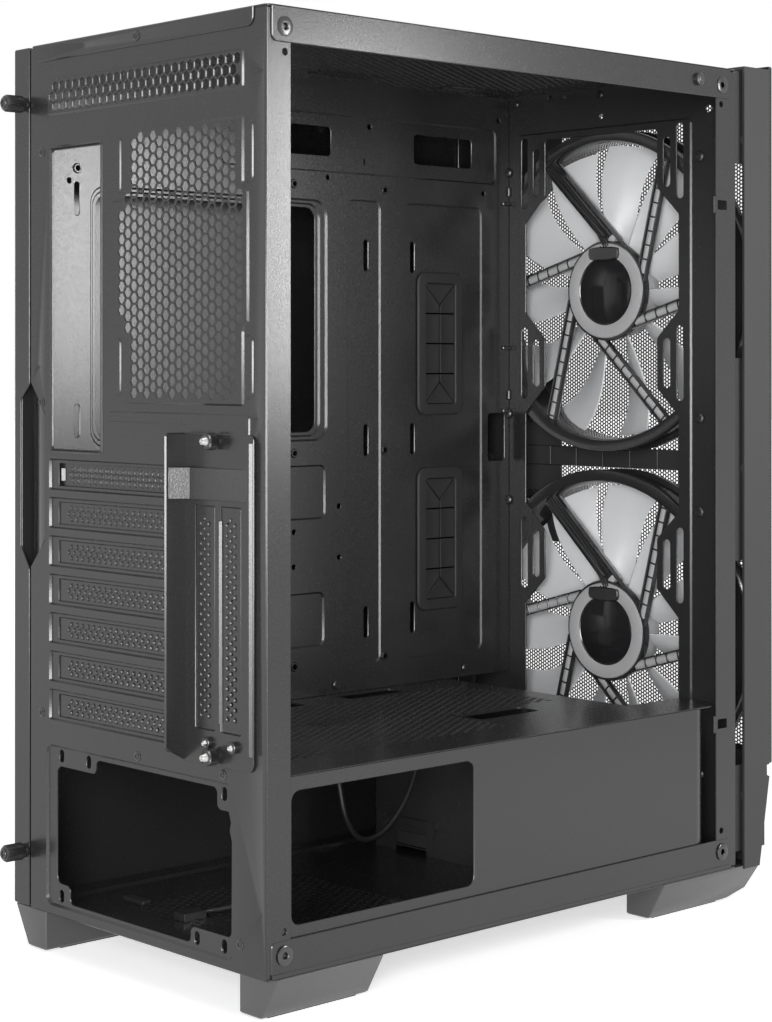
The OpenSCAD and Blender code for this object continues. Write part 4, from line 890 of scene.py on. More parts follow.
class TowerFront(bpy.types.Operator):
    """Plate behind the fans, pressed inwards round its openings, and its side flanges"""
    bl_idname = "tower.front_frame"
    bl_label = "Front frame"

    def execute(self, context):
        # opening with a lobe for each of three smaller fans, and their screw slots beside it
        neck, lobe, low, pitch, reach = 45, 61.5, 28.5, 120, 200
        right = [(neck, -reach)]
        for z in (-pitch, 0, pitch):
            right += [(neck, z - neck), (lobe, z - low), (lobe, z + low), (neck, z + neck)]
        right += [(neck, reach)]
        loop = [(FAN_X + x, FIELD_Z + z) for x, z in right + [(-x, z) for x, z in reversed(right)]]
        opening = rounded(loop, 2.5, 3)
        slots = []
        for k in (-1.5, -0.5, 0.5, 1.5):
            for s in (-1, 1):
                short = 7 if k < -1 else 0
                slots += [pill(FAN_X + s * 52.5, FIELD_Z + k * pitch, 5, 30),
                          pill(FAN_X + s * 62.5, FIELD_Z + k * pitch + short / 2, 5, 45 - short)]
        field_loop = rounded(rect(FAN_X - 71, 30, FAN_X + 68, BODY_H - 25), 3, 3)
        plate = rounded(rect(2, 0.2, LEDGE_X1, BODY_H - 0.2), 1.0, 2)
        holes = [disc(190, BODY_H - 24, 5, 20)]
        holes += [disc(x, z, 3.2, 16) for x in (12, CASE_W - 14) for z in (40, BODY_H / 2, BODY_H - 40)]
        holes += [disc(x, z, r, 12) for x, z, r in ((145, 458, 1.6), (132.4, 457.5, 1.2), (102.9, 443.5, 1.6),
                                                    (20, 441, 2.2))]
        form = Form()
        form.sheet("y", FRONT_Y, FRONT_Y + 1, plate, holes, [(field_loop, 0.9, 1.0, [opening] + slots, [])],
                   edge=0.3, rim=0.25)
        # side flange at the open side with its stepped edge, and the one under the side panel
        y1 = FRONT_Y + 18.3
        form.sheet("x", 1, 2, rounded(rect(FRONT_Y + 0.3, 1, y1, ROOF_Z - 0.2), [0, 0.8, 0.8, 0], 2),
                   [disc(GLASS_YS[1], z, 3.2, 16) for z in GLASS_ZS]
                   + [disc(-344.3, z, 1.8, 14) for z in (441, 23)]
                   + [rounded(rect(-349.4, z - 2.7, -341, z + 2.7), 0.5, 1) for z in NOTCHES], edge=0.5)
        for z in NOTCHES:
            form.block((0.8, -340.2, z - 5), (2, -337.4, z + 5), 0.4)
        form.sheet("x", LEDGE_X1 - 0.3, LEDGE_X1 + 0.7, rect(FRONT_Y + 0.3, 3, y1, ROOF_Z - 3), edge=0.3)
        for x in (103.3, 173.7):
            head(form, "y", (x, 456.7), 2.4, FRONT_Y + 1, FRONT_Y + 2.6)
        form.make("front_plate", "chassis", "painted_steel", coated_steel(), ["front_frame"])
        form = Form()
        for z in FAN_ZS:
            for dx in (-FAN_HOLE, FAN_HOLE):
                for dz in (-FAN_HOLE, FAN_HOLE):
                    head(form, "y", (FAN_X + dx, z + dz), 3.1, FRONT_Y + 1, FRONT_Y + 3)
        form.make("fan_screw_heads", "chassis", "zinc_screw", black_screw(), ["fan_screws"])
        return {"FINISHED"}


class TowerTray(bpy.types.Operator):
    """Motherboard tray with its cooler opening, cable cut-outs and pressed fields"""
    bl_idname = "tower.tray"
    bl_label = "Motherboard tray"

    def execute(self, context):
        press = size("press")
        window = rounded(rect(-192.3, BOARD_Z - 145.3, -33, BOARD_Z - 13.3), 7, 4)
        # slots for cable ties, in two columns
        ties_a, ties_b = ([pill(FRONT_Y + y, BOARD_Z - z, 3.5, 19) for z in (40, 151.3, 260.8)]
                          for y in (125.5, 86.5))
        grommets = []
        for i in SIDES:
            lo, hi = case_box(f"cable_grommet_{i}")
            grommets.append(rounded(rect(lo.y + 5, lo.z + 5, hi.y - 5, hi.z - 5), 3, 3))
        dishes = [(rounded(rect(FRONT_Y + 13, BOARD_Z + 8.2, -120, BODY_H - 22), 4, 3), press, 1.0,
                   [rounded(rect(-204, BODY_H - 47.2, -160, BODY_H - 30), 2.5, 3),
                    rounded(rect(FRONT_Y + 34.6, BODY_H - 47.7, FRONT_Y + 85, BODY_H - 29.7), 2.5, 3),
                    disc(-235.6, 434.3, 1.8, 14)], []),
                  (rounded(rect(-200.5, BOARD_Z - 150.8, -28, BOARD_Z - 8.3), 10, 5), 1.1, 1.2, [],
                   [(rounded(rect(-195.6, BOARD_Z - 148.2, -30, BOARD_Z - 10.6), 9, 5), 1.0, 1.1,
                     [window], [])]),
                  (rect(-243.4, 411, -231, 415.2), 1.4, 1.2, [], []),
                  (rounded(rect(-199, BOARD_Z - 196.8, -110, BOARD_Z - 164.8), 4, 3), press, 1.0, [], []),
                  (rounded(rect(-198, SHROUD_H + 29.5, -110, SHROUD_H + 61.5), 4, 3), press, 1.0, [], []),
                  (rounded(rect(FRONT_Y + 114, SHROUD_H + 15.5, FRONT_Y + 141.5, BOARD_Z - 6.8), 5, 4), press,
                   1.0, ties_a, []),
                  (rounded(rect(FRONT_Y + 26, SHROUD_H + 15.5, FRONT_Y + 93.5, BOARD_Z - 6.8), 5, 4), press,
                   1.0, ties_b + grommets, [])]
        holes = [rounded(rect(FRONT_Y + 5.5, BOARD_Z - 166.8, FRONT_Y + 20.5, BOARD_Z - 136.8), 2, 3)]
        holes += [pill(BOARD_COLUMNS[0], BOARD_Z - z, 3.5, 18) for z in (16.3, 135.8)]
        fixings = [(y, z) for y in BOARD_COLUMNS for z in BOARD_ROWS]
        holes += [disc(y, z, 1.9, 14) for y, z in fixings]
        holes += [disc(y, z, 1.5, 12) for y, z in (
            (-174.1, 193.2), (-174.1, 172.7), (-209.8, 206.9), (-209.8, 176.5), (-200.9, 402), (-333.3, 399),
            (-347, 446), (-14.2, 390))]
        form = Form()
        outline = rounded(rect(FRONT_Y + 1.2, SHROUD_H, -1, ROOF_Z), 1, 2)
        form.sheet("x", TRAY_X, TRAY_X + 1, outline, holes, dishes, edge=0.3, rim=0.3)
        # collars drawn round the fixings
        collar = [(1.7, TRAY_X - 1), (2.3, TRAY_X - 1), (2.7, TRAY_X - 0.6), (2.9, TRAY_X),
                  (1.7, TRAY_X + 0.4)]
        for fixing in fixings:
            form.turned("x", fixing, collar, 20, closed=True)
        # clips that join the tray to the front plate: middle, height and length
        for z, tall, long in ((401, 6, 3), (393.4, 2.2, 8), (301.6, 2.2, 8), (271.6, 6, 3), (261.6, 2.2, 8)):
            form.block((TRAY_X - 1.6, FRONT_Y + 1, z - tall / 2), (TRAY_X, FRONT_Y + long, z + tall / 2), 0.5)
        form.make("tray_sheet", "chassis", "painted_steel", coated_steel(),
                  ["motherboard_tray", "tray_front_wing", "tray_top_band"])
        form = Form()
        lo, hi = case_box("tray_screws")
        for y in (-118.5, -207, FRONT_Y + 42):
            head(form, "x", (y, SHROUD_H + 5.6), (hi.z - lo.z) / 2, TRAY_X, TRAY_X - 1.6)
        form.make("tray_screw_heads", "chassis", "zinc_screw", black_screw(), ["tray_screws"])
        return {"FINISHED"}


class TowerGrommets(bpy.types.Operator):
    """Rubber cable grommets with slit flaps"""
    bl_idname = "tower.grommets"
    bl_label = "Cable grommets"

    def execute(self, context):
        for i in SIDES:
            lo, hi = case_box(f"cable_grommet_{i}")
            y0, y1, z0, z1, x = lo.y, hi.y, lo.z, hi.z, TRAY_X + 0.9
            form = Form()
            inner = rounded(rect(y0 + 7, z0 + 7, y1 - 7, z1 - 7), 1.5, 3)
            form.sheet("x", x - 1.9, x + 0.1, rounded(rect(y0, z0, y1, z1), 7, 5), [inner], edge=0.9, rim=0.6)
            for flap in self.flaps(y0 + 6.4, y1 - 6.4, z0 + 7, (z1 - z0 - 14) / 4):
                pillow = (offset(flap, -1.2), 0.5, 1.2, [], [])
                form.sheet("x", x - 0.8, x + 0.2, offset(flap, -0.4), [], [pillow], edge=0.2)
            form.make(f"grommet_{i}", "chassis", "rubber", rubber(), [f"cable_grommet_{i}"])
        return {"FINISHED"}

    def flaps(self, left, right, bottom, quarter):
        """Flaps in four rows, split along the middle and across, with a wedge at each end."""
        mid, wedge = (left + right) / 2, (right - left) / 2
        out = []
        for k in range(4):
            a, b = bottom + k * quarter, bottom + (k + 1) * quarter
            if k == 0:
                tip = (mid, a + wedge)
                out += [[(left, a), (right, a), tip], [(left, a), tip, (mid, b), (left, b)],
                        [(right, a), (right, b), (mid, b), tip]]
            elif k == 3:
                tip = (mid, b - wedge)
                out += [[(left, b), tip, (right, b)], [(left, a), (mid, a), tip, (left, b)],
                        [(right, a), (right, b), tip, (mid, a)]]
            else:
                out += [rect(left, a, mid, b), rect(mid, a, right, b)]
        return out


class TowerBay(bpy.types.Operator):
    """Cover of the power supply bay, with window, perforation and cable slots"""
    bl_idname = "tower.bay"
    bl_label = "Bay cover"

    def execute(self, context):
        form = Form()
        cover_front, strip_front, bend, notch_x = FRONT_Y + 57, FRONT_Y + 12, 12, 34
        top = [(2, -1), *arc(2 + bend, strip_front + bend, bend, 180, 270, 6), (notch_x, strip_front),
               (notch_x, cover_front), (TRAY_X + 1, cover_front), (TRAY_X + 1, -1)]
        slots = [rounded(rect(TRAY_X - 21, y - 23, TRAY_X - 5, y + 23), 3, 3) for y in (-223, -143)]
        slots.append(rounded(rect(56, -251, 74, -203), 3, 3))
        r = size("vent_width") / 2
        clear = [offset(s, 4) for s in slots]
        vents = field(30, cover_front + 14, 158, -16, size("vent_pitch"), r, rows=True,
                      keep=lambda x, y: not any(inside(c, x, y) for c in clear) and (y > -198 or x > 78))
        form.sheet("z", SHROUD_H - 1, SHROUD_H, top, slots + vents, edge=0.3, rim=0)
        # upright wall with its window, bent inwards at its front end
        wall_end = strip_front + 23
        window = rounded(rect(-141.5, SHROUD_H - 72, -17, SHROUD_H - 7.8), 5, 5)
        form.sheet("x", 2, 3, rect(wall_end, 1, -1, SHROUD_H - 0.4), [window], edge=0, rim=0.35)
        path = arc(2 + bend, wall_end, bend, 180, 270, 10) + [(notch_x, wall_end - bend)]
        form.sheet("z", 1, SHROUD_H - 1, strip(path, -1), edge=0)
        form.make("bay_cover_sheet", "chassis", "painted_steel", coated_steel(), ["bay_cover"])
        carried("bay_pads", rubber(), 0.8, 3)
        carried("drive_cage", coated_steel(), 0.2)
        for i in SIDES:
            carried(f"drive_caddy_{i}", black_plastic(), 0.4, 3)
        return {"FINISHED"}


# ---------- fans ----------
RING_R, RING_BORE = 99, 91                        # outer and inner radius of a fan's ring
HUB_R = 30                                        # radius where the struts start
BLADE_ROOT, BLADE_TIP, BLADE_DEPTH = 27.6, 89.4, 11.5
BLADE_CHORD, BLADE_TILT, BLADE_HALF = math.radians(20.5), math.radians(35), 0.45
FIRST_BLADE = 27.2                                # degrees from the level line
STRUT_OFF, FIRST_STRUT = 25, 44                   # struts pass the axis at this distance; degrees


class TowerFans(bpy.types.Operator):
    """Fan frames with struts, motor boss, label and lead, and the bladed rotors"""
    bl_idname = "tower.fans"
    bl_label = "Front fans"

    def execute(self, context):
        for i, name in enumerate(SIDES):
            self.frame(i, name)
            self.struts(i, name)
            self.rotor(i, name)
            self.label(i, name)
            carried(f"fan_lead_{name}", rubber(), 0.1)
        return {"FINISHED"}

    def frame(self, i, name):
        """Round frame with two lips, four ears at each and the motor's seat."""
        y0, y1, r = FAN_Y0, FAN_Y1, RING_R
        form = Form()
        form.turned("y", (FAN_X, FAN_ZS[i]), [
            (RING_BORE + 0.2, y0), (r - 0.4, y0), (r, y0 + 0.5), (r, y0 + 3.6), (r - 1.2, y0 + 4),
            (r - 2.6, y0 + 5.4), (r - 2.6, y1 - 5.4), (r - 1.2, y1 - 4), (r, y1 - 3.6), (r, y1 - 0.5),
            (r - 0.4, y1),
            (RING_BORE + 2.6, y1), (RING_BORE + 1.2, y1 - 0.8), (RING_BORE + 0.2, y1 - 3),
            (RING_BORE, y1 - 8), (RING_BORE, y0 + 2)], 128, closed=True)
        ear_r, ear_root = 6, 13.5
        for a in (45, 135, 225, 315):
            ux, uz = math.cos(math.radians(a)), math.sin(math.radians(a))
            cx, cz = FAN_X + FAN_HOLE * math.sqrt(2) * ux, FAN_ZS[i] + FAN_HOLE * math.sqrt(2) * uz
            px, pz = -uz * ear_r, ux * ear_r
            root = (cx - ux * ear_root, cz - uz * ear_root)
            tip = arc(cx, cz, ear_r, a - 90, a + 90, 10)
            ear = [(root[0] - px, root[1] - pz)] + tip + [(root[0] + px, root[1] + pz)]
            for lo, hi in ((y0, y0 + 4), (y1 - 4, y1)):
                form.sheet("y", lo, hi, ear, [disc(cx, cz, 2.4, 16)], edge=0.5, rim=0.3)
        form.turned("y", (FAN_X, FAN_ZS[i]), [
            (29.5, y1 - 8), (29.5, y1 - 3.9), (28.6, y1 - 3.1), (27.4, y1 - 3.0), (26.6, y1 - 3.4),
            (21, y1 - 3.4), (20.4, y1 - 3.9), (1, y1 - 3.9)], 64)
        form.make(f"fan_ring_{name}", "chassis", "black_plastic", gloss_plastic(), [f"fan_frame_{name}"])

    def struts(self, i, name):
        """Hub ring and ladder-ribbed struts set off the axis; the widest one carries the lead's wires."""
        pale, dark, wires = Form(), Form(), Form()
        y1, hub = FAN_Y1 - 3, Vector((FAN_X, FAN_ZS[i]))
        pale.turned("y", hub, [(21.2, y1 - 0.3), (29.3, y1 - 3), (29.3, y1 - 0.6), (28.9, y1 + 0.1),
                               (27.6, y1 + 0.35), (22.4, y1 + 0.35), (21.4, y1 + 0.1)], 72, closed=True)
        dark.turned("y", hub, [(29.4, y1 - 5), (31, y1 - 5), (31, y1 - 1.6), (30.6, y1 - 0.8),
                               (29.4, y1 - 0.8)], 72, closed=True)
        struts, ribs, off = 6, 8, STRUT_OFF
        start, reach = math.sqrt(HUB_R ** 2 - off ** 2), math.sqrt((RING_BORE + 2) ** 2 - off ** 2)
        for k in range(struts):
            a = math.radians(FIRST_STRUT + 360 / struts * k)
            u, v = Vector((math.cos(a), math.sin(a))), Vector((-math.sin(a), math.cos(a)))
            w, base = (4.4 if k == 0 else 3.0), hub + v * off

            def bar(form, near, far, left, right, low, high, edge=0.15):
                """A bar along this strut, between two distances along it and two across it."""
                corners = [base + u * near + v * left, base + u * far + v * left, base + u * far + v * right,
                           base + u * near + v * right]
                form.sheet("y", low, high, [tuple(c) for c in corners], edge=edge)

            ends = [base + u * start, base + u * reach]
            pale.tube([(e.x, y1 - w - 0.9, e.y) for e in ends], w, 16)
            for s in (-1, 1):
                hubward = math.sqrt(max(16, (HUB_R + 0.5) ** 2 - (off + s * w) ** 2))
                bar(dark, hubward, reach, s * w - 0.4, s * w + 0.4, y1 - 4, y1 - 0.2, 0.2)
            for n in range(1, ribs + 1):
                at = start + (reach - start) * n / (ribs + 0.4)
                bar(dark, at - 0.5, at + 0.5, -w, w, y1 - 3, y1 - 0.6)
            if k == 0:
                bar(dark, start + 4, reach, -3.6, 3, y1 - 2.4, y1 - 0.5)
                for n in range(3):
                    ends = [base + u * (reach - 2) + v * (n * 1.5 - 1.8), base + u * 34 + v * (n * 1.5 - 2.6),
                            base + u * 17 + v * (n * 1.5 - 6.2), hub + Vector((3.6 - 2.4 * n, 27))]
                    wires.tube([(e.x, y1 + 0.1, e.y) for e in ends], 0.65, 8)
        clip = [(-11, 19.5), (-5, 18.6), (5, 18.6), (11, 19.5), (12, 22), (11.5, 26), (6, 26.8), (-6, 26.8),
                (-11.5, 26), (-12, 22)]
        clip = [(hub.x + x, hub.y + z) for x, z in clip]
        dark.sheet("y", y1 - 0.6, FAN_Y1 - 0.8, rounded(clip, 1.2, 3), edge=0.6)
        pale.make(f"fan_struts_{name}", "chassis", "frosted_plastic", smoky())
        dark.make(f"fan_strut_ribs_{name}", "chassis", "black_plastic", gloss_plastic())
        wires.make(f"fan_wires_{name}", "chassis", "rubber", rubber(), smooth=60)

    def rotor(self, i, name):
        """Cup-shaped hub and curved blades, twisted from root to tip."""
        blades = sizes().blades
        y0, y1 = (corner.y for corner in case_box(f"fan_rotor_{name}"))
        form = Form()
        form.turned("y", (FAN_X, FAN_ZS[i]), [(22, y0), (26.6, y0), (28.2, y0 + 1.4), (28.2, y1 - 0.4),
                                               (27.6, y1), (3, y1)], 64)
        across, rows = 12, 14
        for b in range(blades):
            front, back = [], []
            for k in range(rows + 1):
                s = k / rows
                r = BLADE_ROOT + (BLADE_TIP - BLADE_ROOT) * s
                sweep = 3 * s - 2.5 * math.sin(math.pi * s) + 3 * s ** 4
                start = 2 * math.pi * b / blades + math.radians(FIRST_BLADE + sweep)
                for half, store in ((BLADE_HALF, front), (-BLADE_HALF, back)):
                    aside, along = half * math.cos(BLADE_TILT), half * math.sin(BLADE_TILT)
                    line = []
                    for n in range(across + 1):
                        t = n / across
                        a = start - BLADE_CHORD * (t - 0.5)
                        level = y0 + 0.6 + BLADE_DEPTH * (t + 0.12 * math.sin(math.pi * t))
                        line.append((FAN_X + r * math.cos(a) - aside * math.sin(a),
                                     min(max(level + along, y0 + 0.1), y1 - 0.1),
                                     FAN_ZS[i] + r * math.sin(a) + aside * math.cos(a)))
                    store.append(line)
            self.shell(form, front, back)
        form.make(f"fan_blades_{name}", f"rotor_{name}", "frosted_plastic", frosted(), [f"fan_rotor_{name}"],
                  smooth=50)

    def shell(self, form, front, back):
        """Closes two equal grids of points into one thin body."""
        rows, cols = len(front), len(front[0])
        start = len(form.points)
        form.points += [p for grid in (front, back) for line in grid for p in line]

        def at(g, k, n):
            return start + (g * rows + k) * cols + n

        for k in range(rows - 1):
            for n in range(cols - 1):
                form.faces.append([at(0, k, n), at(0, k + 1, n), at(0, k + 1, n + 1), at(0, k, n + 1)])
                form.faces.append([at(1, k, n + 1), at(1, k + 1, n + 1), at(1, k + 1, n), at(1, k, n)])
        for k in range(rows - 1):
            for g, n in ((0, 0), (1, cols - 1)):
                form.faces.append([at(1 - g, k, n), at(1 - g, k + 1, n), at(g, k + 1, n), at(g, k, n)])
        for n in range(cols - 1):
            for g, k in ((0, 0), (1, rows - 1)):
                form.faces.append([at(g, k, n), at(g, k, n + 1), at(1 - g, k, n + 1), at(1 - g, k, n)])

    def label(self, i, name):
        """Plain film over the motor."""
        y = FAN_Y1 - 3.35
        form = Form()
        form.turned("y", (FAN_X, FAN_ZS[i]), [(20, y - 0.3), (20, y + 0.25), (19.8, y + 0.35),
                                               (0.6, y + 0.35)], 64)
        form.make(f"fan_sticker_{name}", "chassis", "label", gloss_label(), [f"fan_label_{name}"])


# ---------- fasteners, feet ----------
SHAFT_R = 2                                       # thread of a thumbscrew


def knurled(form, centre, base, long, deep, r):
    """A thumbscrew along Y with a collar and a knurled grip, long above base and deep below it."""
    def ribs(i, k):
        """Every other point of the grip stands out."""
        return 0.3 * (1 if i % 2 else -1) if 5 <= k <= 6 else 0
    top = base + long
    form.turned("y", centre, [(SHAFT_R * 0.8, base - deep), (SHAFT_R, base - deep + 0.6), (SHAFT_R, base),
                              (r - 0.6, base + 0.02), (r - 0.5, base + long * 0.16), (r, base + long * 0.24),
                              (r, base + long * 0.9), (r - 0.6, top - 0.2), (r - 1.2, top), (0.5, top)], 48,
                wobble=ribs)


class TowerFasteners(bpy.types.Operator):
    """Thumbscrews, rivets, glass panel inserts, locating pin and small screws"""
    bl_idname = "tower.fasteners"
    bl_label = "Fasteners"

    def execute(self, context):
        for name, z in zip(SIDES, PANEL_SCREWS):
            form = Form()
            knurled(form, (PANEL_SCREW_X, z), 0, 14.2, 3.4, 4.3)
            head(form, "y", (PANEL_SCREW_X, z), 2.9, 14, 15)
            form.make(f"panel_knob_{name}", f"panel_screw_{name}", "black_screw", black_screw(),
                      [f"panel_thumbscrew_{name}"])
        for name, z in zip(SIDES, BRACKET_SCREWS):
            form, tip = Form(), Form()
            knurled(form, (BRACKET_SCREW_X, z), 1, 7.2, 3, 3.9)
            form.make(f"bracket_knob_{name}", f"bracket_screw_{name}", "black_screw", black_screw(),
                      [f"bracket_thumbscrew_{name}"])
            tip.turned("y", (BRACKET_SCREW_X, z), [(2.2, 8), (2.7, 8.3), (2.6, 8.9), (1.5, 10.7), (0.9, 11),
                                                   (0.3, 10.6)], 32)
            tip.make(f"bracket_knob_tip_{name}", f"bracket_screw_{name}", "zinc_screw", zinc())
        form, tips = Form(), Form()
        for x in UPRIGHTS:
            x, z = x - 3, UPRIGHT_Z[0] - 6
            form.turned("y", (x, z), [(2.2, 1), (2.9, 1.1), (2.9, 3.2), (2.5, 3.6), (0.6, 3.6)], 28)
            tips.turned("y", (x, z), [(1.5, 3.5), (1.7, 3.8), (1.0, 5), (0.4, 5.2), (0.2, 5)], 24)
        form.make("upright_cover_heads", "chassis", "black_screw", black_screw(), ["upright_cover_screws"])
        tips.make("upright_cover_tips", "chassis", "zinc_screw", zinc())
        self.rivets()
        self.inserts()
        return {"FINISHED"}

    def rivets(self):
        """Blind rivets of the rear: across, up and level of the sheet they stand on."""
        spots = [(FACE_X1 - 11.1, BOARD_Z + 7.7, 0), (FACE_X1 - 10.7, BOARD_Z - 125.6, 0),
                 (FACE_X1 - 11, SHROUD_H + 10.5, 0), (101, SHROUD_H - 1.9, 0), (33, SHROUD_H - 1.9, 0),
                 (20, 14.3, 0), (FACE_X1 / 2 + 3, BODY_H - 4.8, 1)]
        form = Form()
        for x, z, y in spots:
            form.turned("y", (x, z), [
                (2.6, y), (2.5, y + 0.3), (2.1, y + 0.55), (1.7, y + 0.6), (1.6, y + 0.95), (1.0, y + 1.0),
                (0.8, y + 0.5), (0.3, y + 0.4)], 24)
        form.make("rivet_heads", "chassis", "black_screw", dark_nickel(), ["chassis_rivets"])

    def inserts(self):
        """Ringed threads for the glass panel's screws, and its locating pin."""
        form = Form()
        for y in GLASS_YS:
            for z in GLASS_ZS:
                form.turned("x", (y, z), [(1.6, -0.2), (2.1, -0.6), (4.3, -0.6), (4.8, -0.3), (4.8, 0),
                                          (3, 0.01), (3, 4.7), (1.6, 4.7)], 28, closed=True)
        form.make("ringed_inserts", "chassis", "black_screw", dark_nickel(), ["glass_inserts"])
        form = Form()
        form.turned("x", (-322, BODY_H - 8.5), [(1.4, -3), (2.2, -2.8), (2.4, -2.3), (3.2, -2.15),
                                                (3.6, -1.8), (3.6, 0)], 28)
        form.make("locating_stud", "chassis", "black_screw", black_screw(), ["locating_pin"])


FOOT_LEAN, FOOT_W = 12, 28
TOE, TOE_H = 19, 5                                # a front foot's toe: its set-back at the ground, and height
TOE_TOP_Y = -364.2                                # where a front foot's top ends, behind the front panel


class TowerFeet(bpy.types.Operator):
    """Four moulded feet that lean inwards, and their rubber pads"""
    bl_idname = "tower.feet"
    bl_label = "Feet"

    def execute(self, context):
        for end in ("rear", "front"):
            for side in ("left", "right"):
                node = f"foot_{end}_{side}"
                lo, hi = case_box(node)
                form = Form()
                rings = []
                levels = [(lo.z, 0.8), (lo.z + 0.8, 0), (lo.z + TOE_H, 0), (-3, 0), (-0.4, 0), (0, 0.3)]
                for z, shrink in levels:
                    x0 = FOOT_LEAN * (1 - (z - lo.z) / (0 - lo.z)) + shrink
                    y0 = self.toe(lo, z, shrink) if end == "front" else lo.y + shrink
                    loop = rounded(rect(x0, y0, FOOT_W - shrink, hi.y - shrink), 0.9, 3)
                    rings.append(form.ring("z", z, loop if side == "left" else mirrored(loop, CASE_W / 2)))
                for a, b in zip(rings, rings[1:]):
                    form.bridge("z", a, b)
                form.face("z", rings[0][::-1])
                form.face("z", rings[-1])
                form.make(f"moulded_{node}", "chassis", "black_plastic", foot_plastic(), [node])
        carried("foot_pads", rubber(), 0.5, 3)
        return {"FINISHED"}

    def toe(self, lo, z, shrink):
        """Front end of a front foot at a height: a rising toe, then a nearly upright front."""
        if z > -2.6:
            return TOE_TOP_Y
        if z < lo.z + TOE_H:
            return lo.y + shrink + (TOE - 16 * min(1, (z - lo.z) / TOE_H))
        return lo.y + shrink + 3 * max(0, 1 - (z - lo.z - TOE_H) / 12)


# ---------- front panel ----------
class TowerBezel(bpy.types.Operator):
    """Pull-off front: moulded frame and its folded, finely perforated sheet"""
    bl_idname = "tower.bezel"
    bl_label = "Front panel"

    def execute(self, context):
        carried("front_bezel", black_plastic(), 0.5, 3)
        lo, hi = case_box("front_mesh")
        field_box = (7.5, lo.z + 6, CASE_W - 7.5, hi.z - 7)
        self.perforation(lo, *field_box)
        self.screen(lo, hi, *field_box)
        self.crossbar()
        carried("power_button", black_plastic(), 0.5, 3)
        carried("reset_button", black_plastic(), 0.4, 3)
        carried("usb_sockets", zinc(), 0.2)
        carried("audio_sockets", black_plastic(), 0.3)
        carried("socket_board", board_green(), 0.2)
        return {"FINISHED"}

    def perforation(self, lo, x0, z0, x1, z1):
        """Fine staggered holes: two columns of six-sided cells, repeated across the front."""
        pitch, r = size("mesh_pitch"), size("mesh_width") / 2
        step = pitch * math.sqrt(3) / 2
        rows = int((z1 - z0) / pitch - 0.5)
        y0, y1 = lo.y + 0.3, lo.y + 0.6
        weave = Form()
        for i in range(2):
            for j in range(rows):
                cx, cz = x0 + (i + 0.5) * step, z0 + (j + 0.5 + 0.5 * i) * pitch
                wide, hole = disc(cx, cz, pitch / math.sqrt(3), 6), disc(cx, cz, r, 6)
                a, b = weave.ring("y", y0, wide), weave.ring("y", y0, hole)
                c, d = weave.ring("y", y1, wide), weave.ring("y", y1, hole)
                weave.bridge("y", b, a)
                weave.bridge("y", c, d)
                weave.bridge("y", d, b)
        woven = weave.make("front_perforation", "front", "painted_steel", coated_steel())
        repeat = woven.modifiers.new("columns", "ARRAY")
        repeat.use_relative_offset, repeat.use_constant_offset = False, True
        repeat.constant_offset_displace = (2 * step / 1000, 0, 0)
        repeat.count = int((x1 - x0) / (2 * step))

    def screen(self, lo, hi, x0, z0, x1, z1):
        """Plain border of the front sheet, with its edges folded back."""
        form = Form()
        inner = rounded(rect(x0 + 2, z0 + 2.4, x1 - 2, z1 - 0.6), 1.5, 2)
        border = rounded(rect(0, lo.z, CASE_W, hi.z), 1.2, 3)
        form.sheet("y", lo.y, lo.y + 1, border, [inner], edge=0.4, rim=0.2)
        for x in (0, CASE_W - 1):
            form.block((x, lo.y + 0.5, lo.z + 0.5), (x + 1, hi.y, hi.z - 0.3))
        for z in (lo.z, hi.z - 1):
            form.block((0.5, lo.y + 0.5, z), (CASE_W - 0.5, hi.y, z + 1))
        form.make("front_screen", "front", "painted_steel", coated_steel(), ["front_mesh"])

    def crossbar(self):
        """Ribbed bar across the inside, and the walls that shade the fans' edges."""
        form = Form()
        back, bottom, top = -384.2, FIELD_Z - 5.5, FIELD_Z + 6.8
        form.block((8, back - 3.4, bottom), (203, back, top), 0.5)
        for k in range(9):
            form.block((14 + 22 * k, back - 0.1, bottom + 0.3), (16 + 22 * k, back + 1.3, top - 0.3), 0.3)
        for low, high in ((8, 58), (177, 295), (408, 462)):
            form.block((3.2, -388, low), (4.2, FRONT_Y - 0.8, high), 0.2)
            form.block((162, -388, low), (206, -386.8, high), 0.3)
        form.make("front_crossbar", "front", "black_plastic", black_plastic())


# ---------- cable ----------
# Route from the socket board down the back of the tray, and in two loops over the bay's floor.
CABLE = [(150, -372, 446), (166, -371, 445), (182, -367, 441), (189, -361, 438), (191, -354, 436),
         (194, -347, 428), (196, -343, 410), (196, -342, 380), (196, -342, 320), (196, -342, 250),
         (196, -342, 180), (196, -342, 110), (194, -338, 88), (186, -326, 82), (170, -305, 86),
         (150, -280, 90), (128, -250, 91), (114, -228, 89), (106, -206, 70), (101, -188, 46),
         (98, -168, 32), (97, -150, 31), (98, -140, 44), (101, -137, 66), (103, -132, 84),
         (104, -122, 91), (105, -112, 88), (106, -105, 70), (107, -98, 42), (108, -88, 18),
         (110, -76, 6), (114, -66, 3.2), (116, -60, 3), (116, -54, 3)]


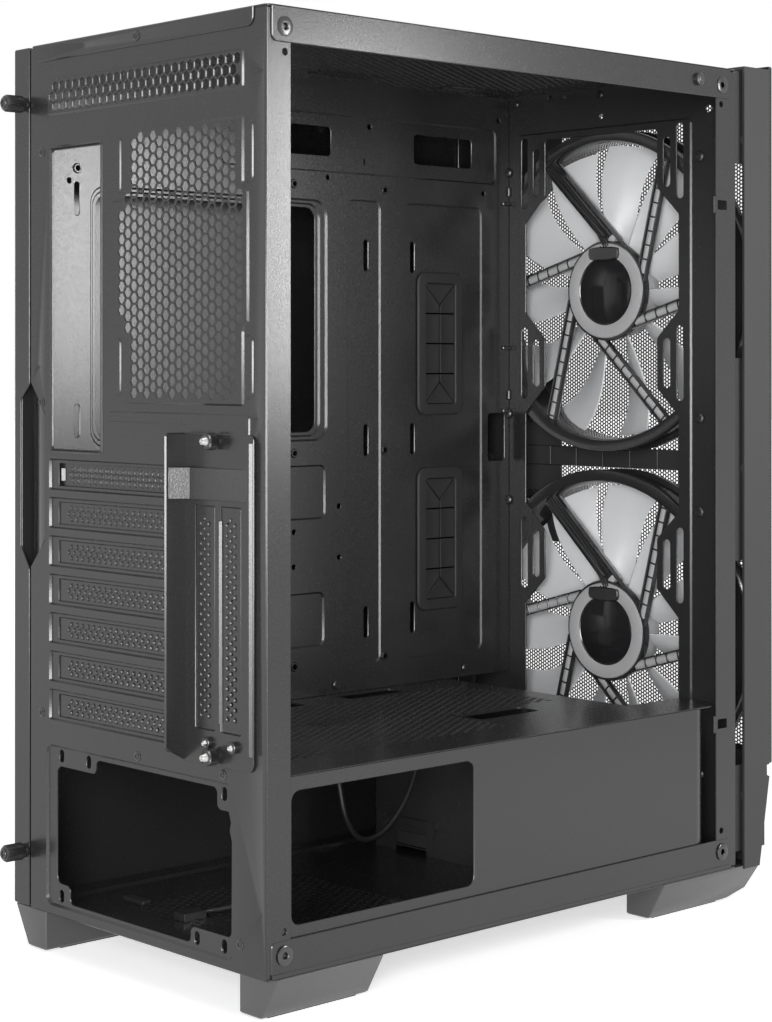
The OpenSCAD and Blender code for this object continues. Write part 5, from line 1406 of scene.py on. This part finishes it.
def smooth_path(points, steps):
    """A smooth line through the points."""
    out = []
    for i in range(len(points) - 1):
        a, b, c, d = (Vector(points[min(max(k, 0), len(points) - 1)]) for k in range(i - 1, i + 3))
        for k in range(steps):
            t = k / steps
            out.append(0.5 * (2 * b + (c - a) * t + (2 * a - 5 * b + 4 * c - d) * t * t
                              + (3 * b - a - 3 * c + d) * t ** 3))
    return out + [Vector(points[-1])]


class TowerCable(bpy.types.Operator):
    """Front panel cable, its plug and its clips"""
    bl_idname = "tower.cable"
    bl_label = "Front cable"

    def execute(self, context):
        path = smooth_path(CABLE, 6)
        form = Form()
        form.tube(path, size("cable") / 2, 12)
        cable = form.make("front_panel_cable", "chassis", "cable", sheath(), ["front_cable"], smooth=60)
        plug = carried("front_cable_plug", sheath(), 0.4, 3)
        carried("cable_clips", sheath(), 0.3)
        size("cable") / 1000
        return {"FINISHED"}


# ---------- panel and start ----------
STEPS = [TowerStage, TowerCable, TowerRear, TowerSlots, TowerBracket, TowerRoof, TowerFloor, TowerSide,
         TowerFront, TowerTray, TowerGrommets, TowerBay, TowerFans, TowerFasteners, TowerFeet, TowerBezel]


class TowerPanel(bpy.types.Panel):
    """Sidebar panel with the tower's sizes and a button for each step"""
    bl_idname = "VIEW3D_PT_tower"
    bl_label = "Computer tower"
    bl_space_type = "VIEW_3D"
    bl_region_type = "UI"
    bl_category = "Tower"

    def draw(self, context):
        for name in TowerSizes.__annotations__:
            self.layout.prop(context.scene.tower_sizes, name)
        for step in STEPS:
            self.layout.operator(step.bl_idname)


def register():
    """Registers the classes and hangs the sizes on the scene."""
    for c in [TowerSizes, TowerPanel] + STEPS:
        bpy.utils.register_class(c)
    bpy.types.Scene.tower_sizes = bpy.props.PointerProperty(type=TowerSizes)


def unregister():
    """Takes the sizes and the classes away again."""
    del bpy.types.Scene.tower_sizes
    for c in reversed([TowerSizes, TowerPanel] + STEPS):
        bpy.utils.unregister_class(c)


def main():
    register()
    for step in STEPS:
        getattr(bpy.ops.tower, step.bl_idname.split(".")[1])()


if __name__ == "__main__":
    main()
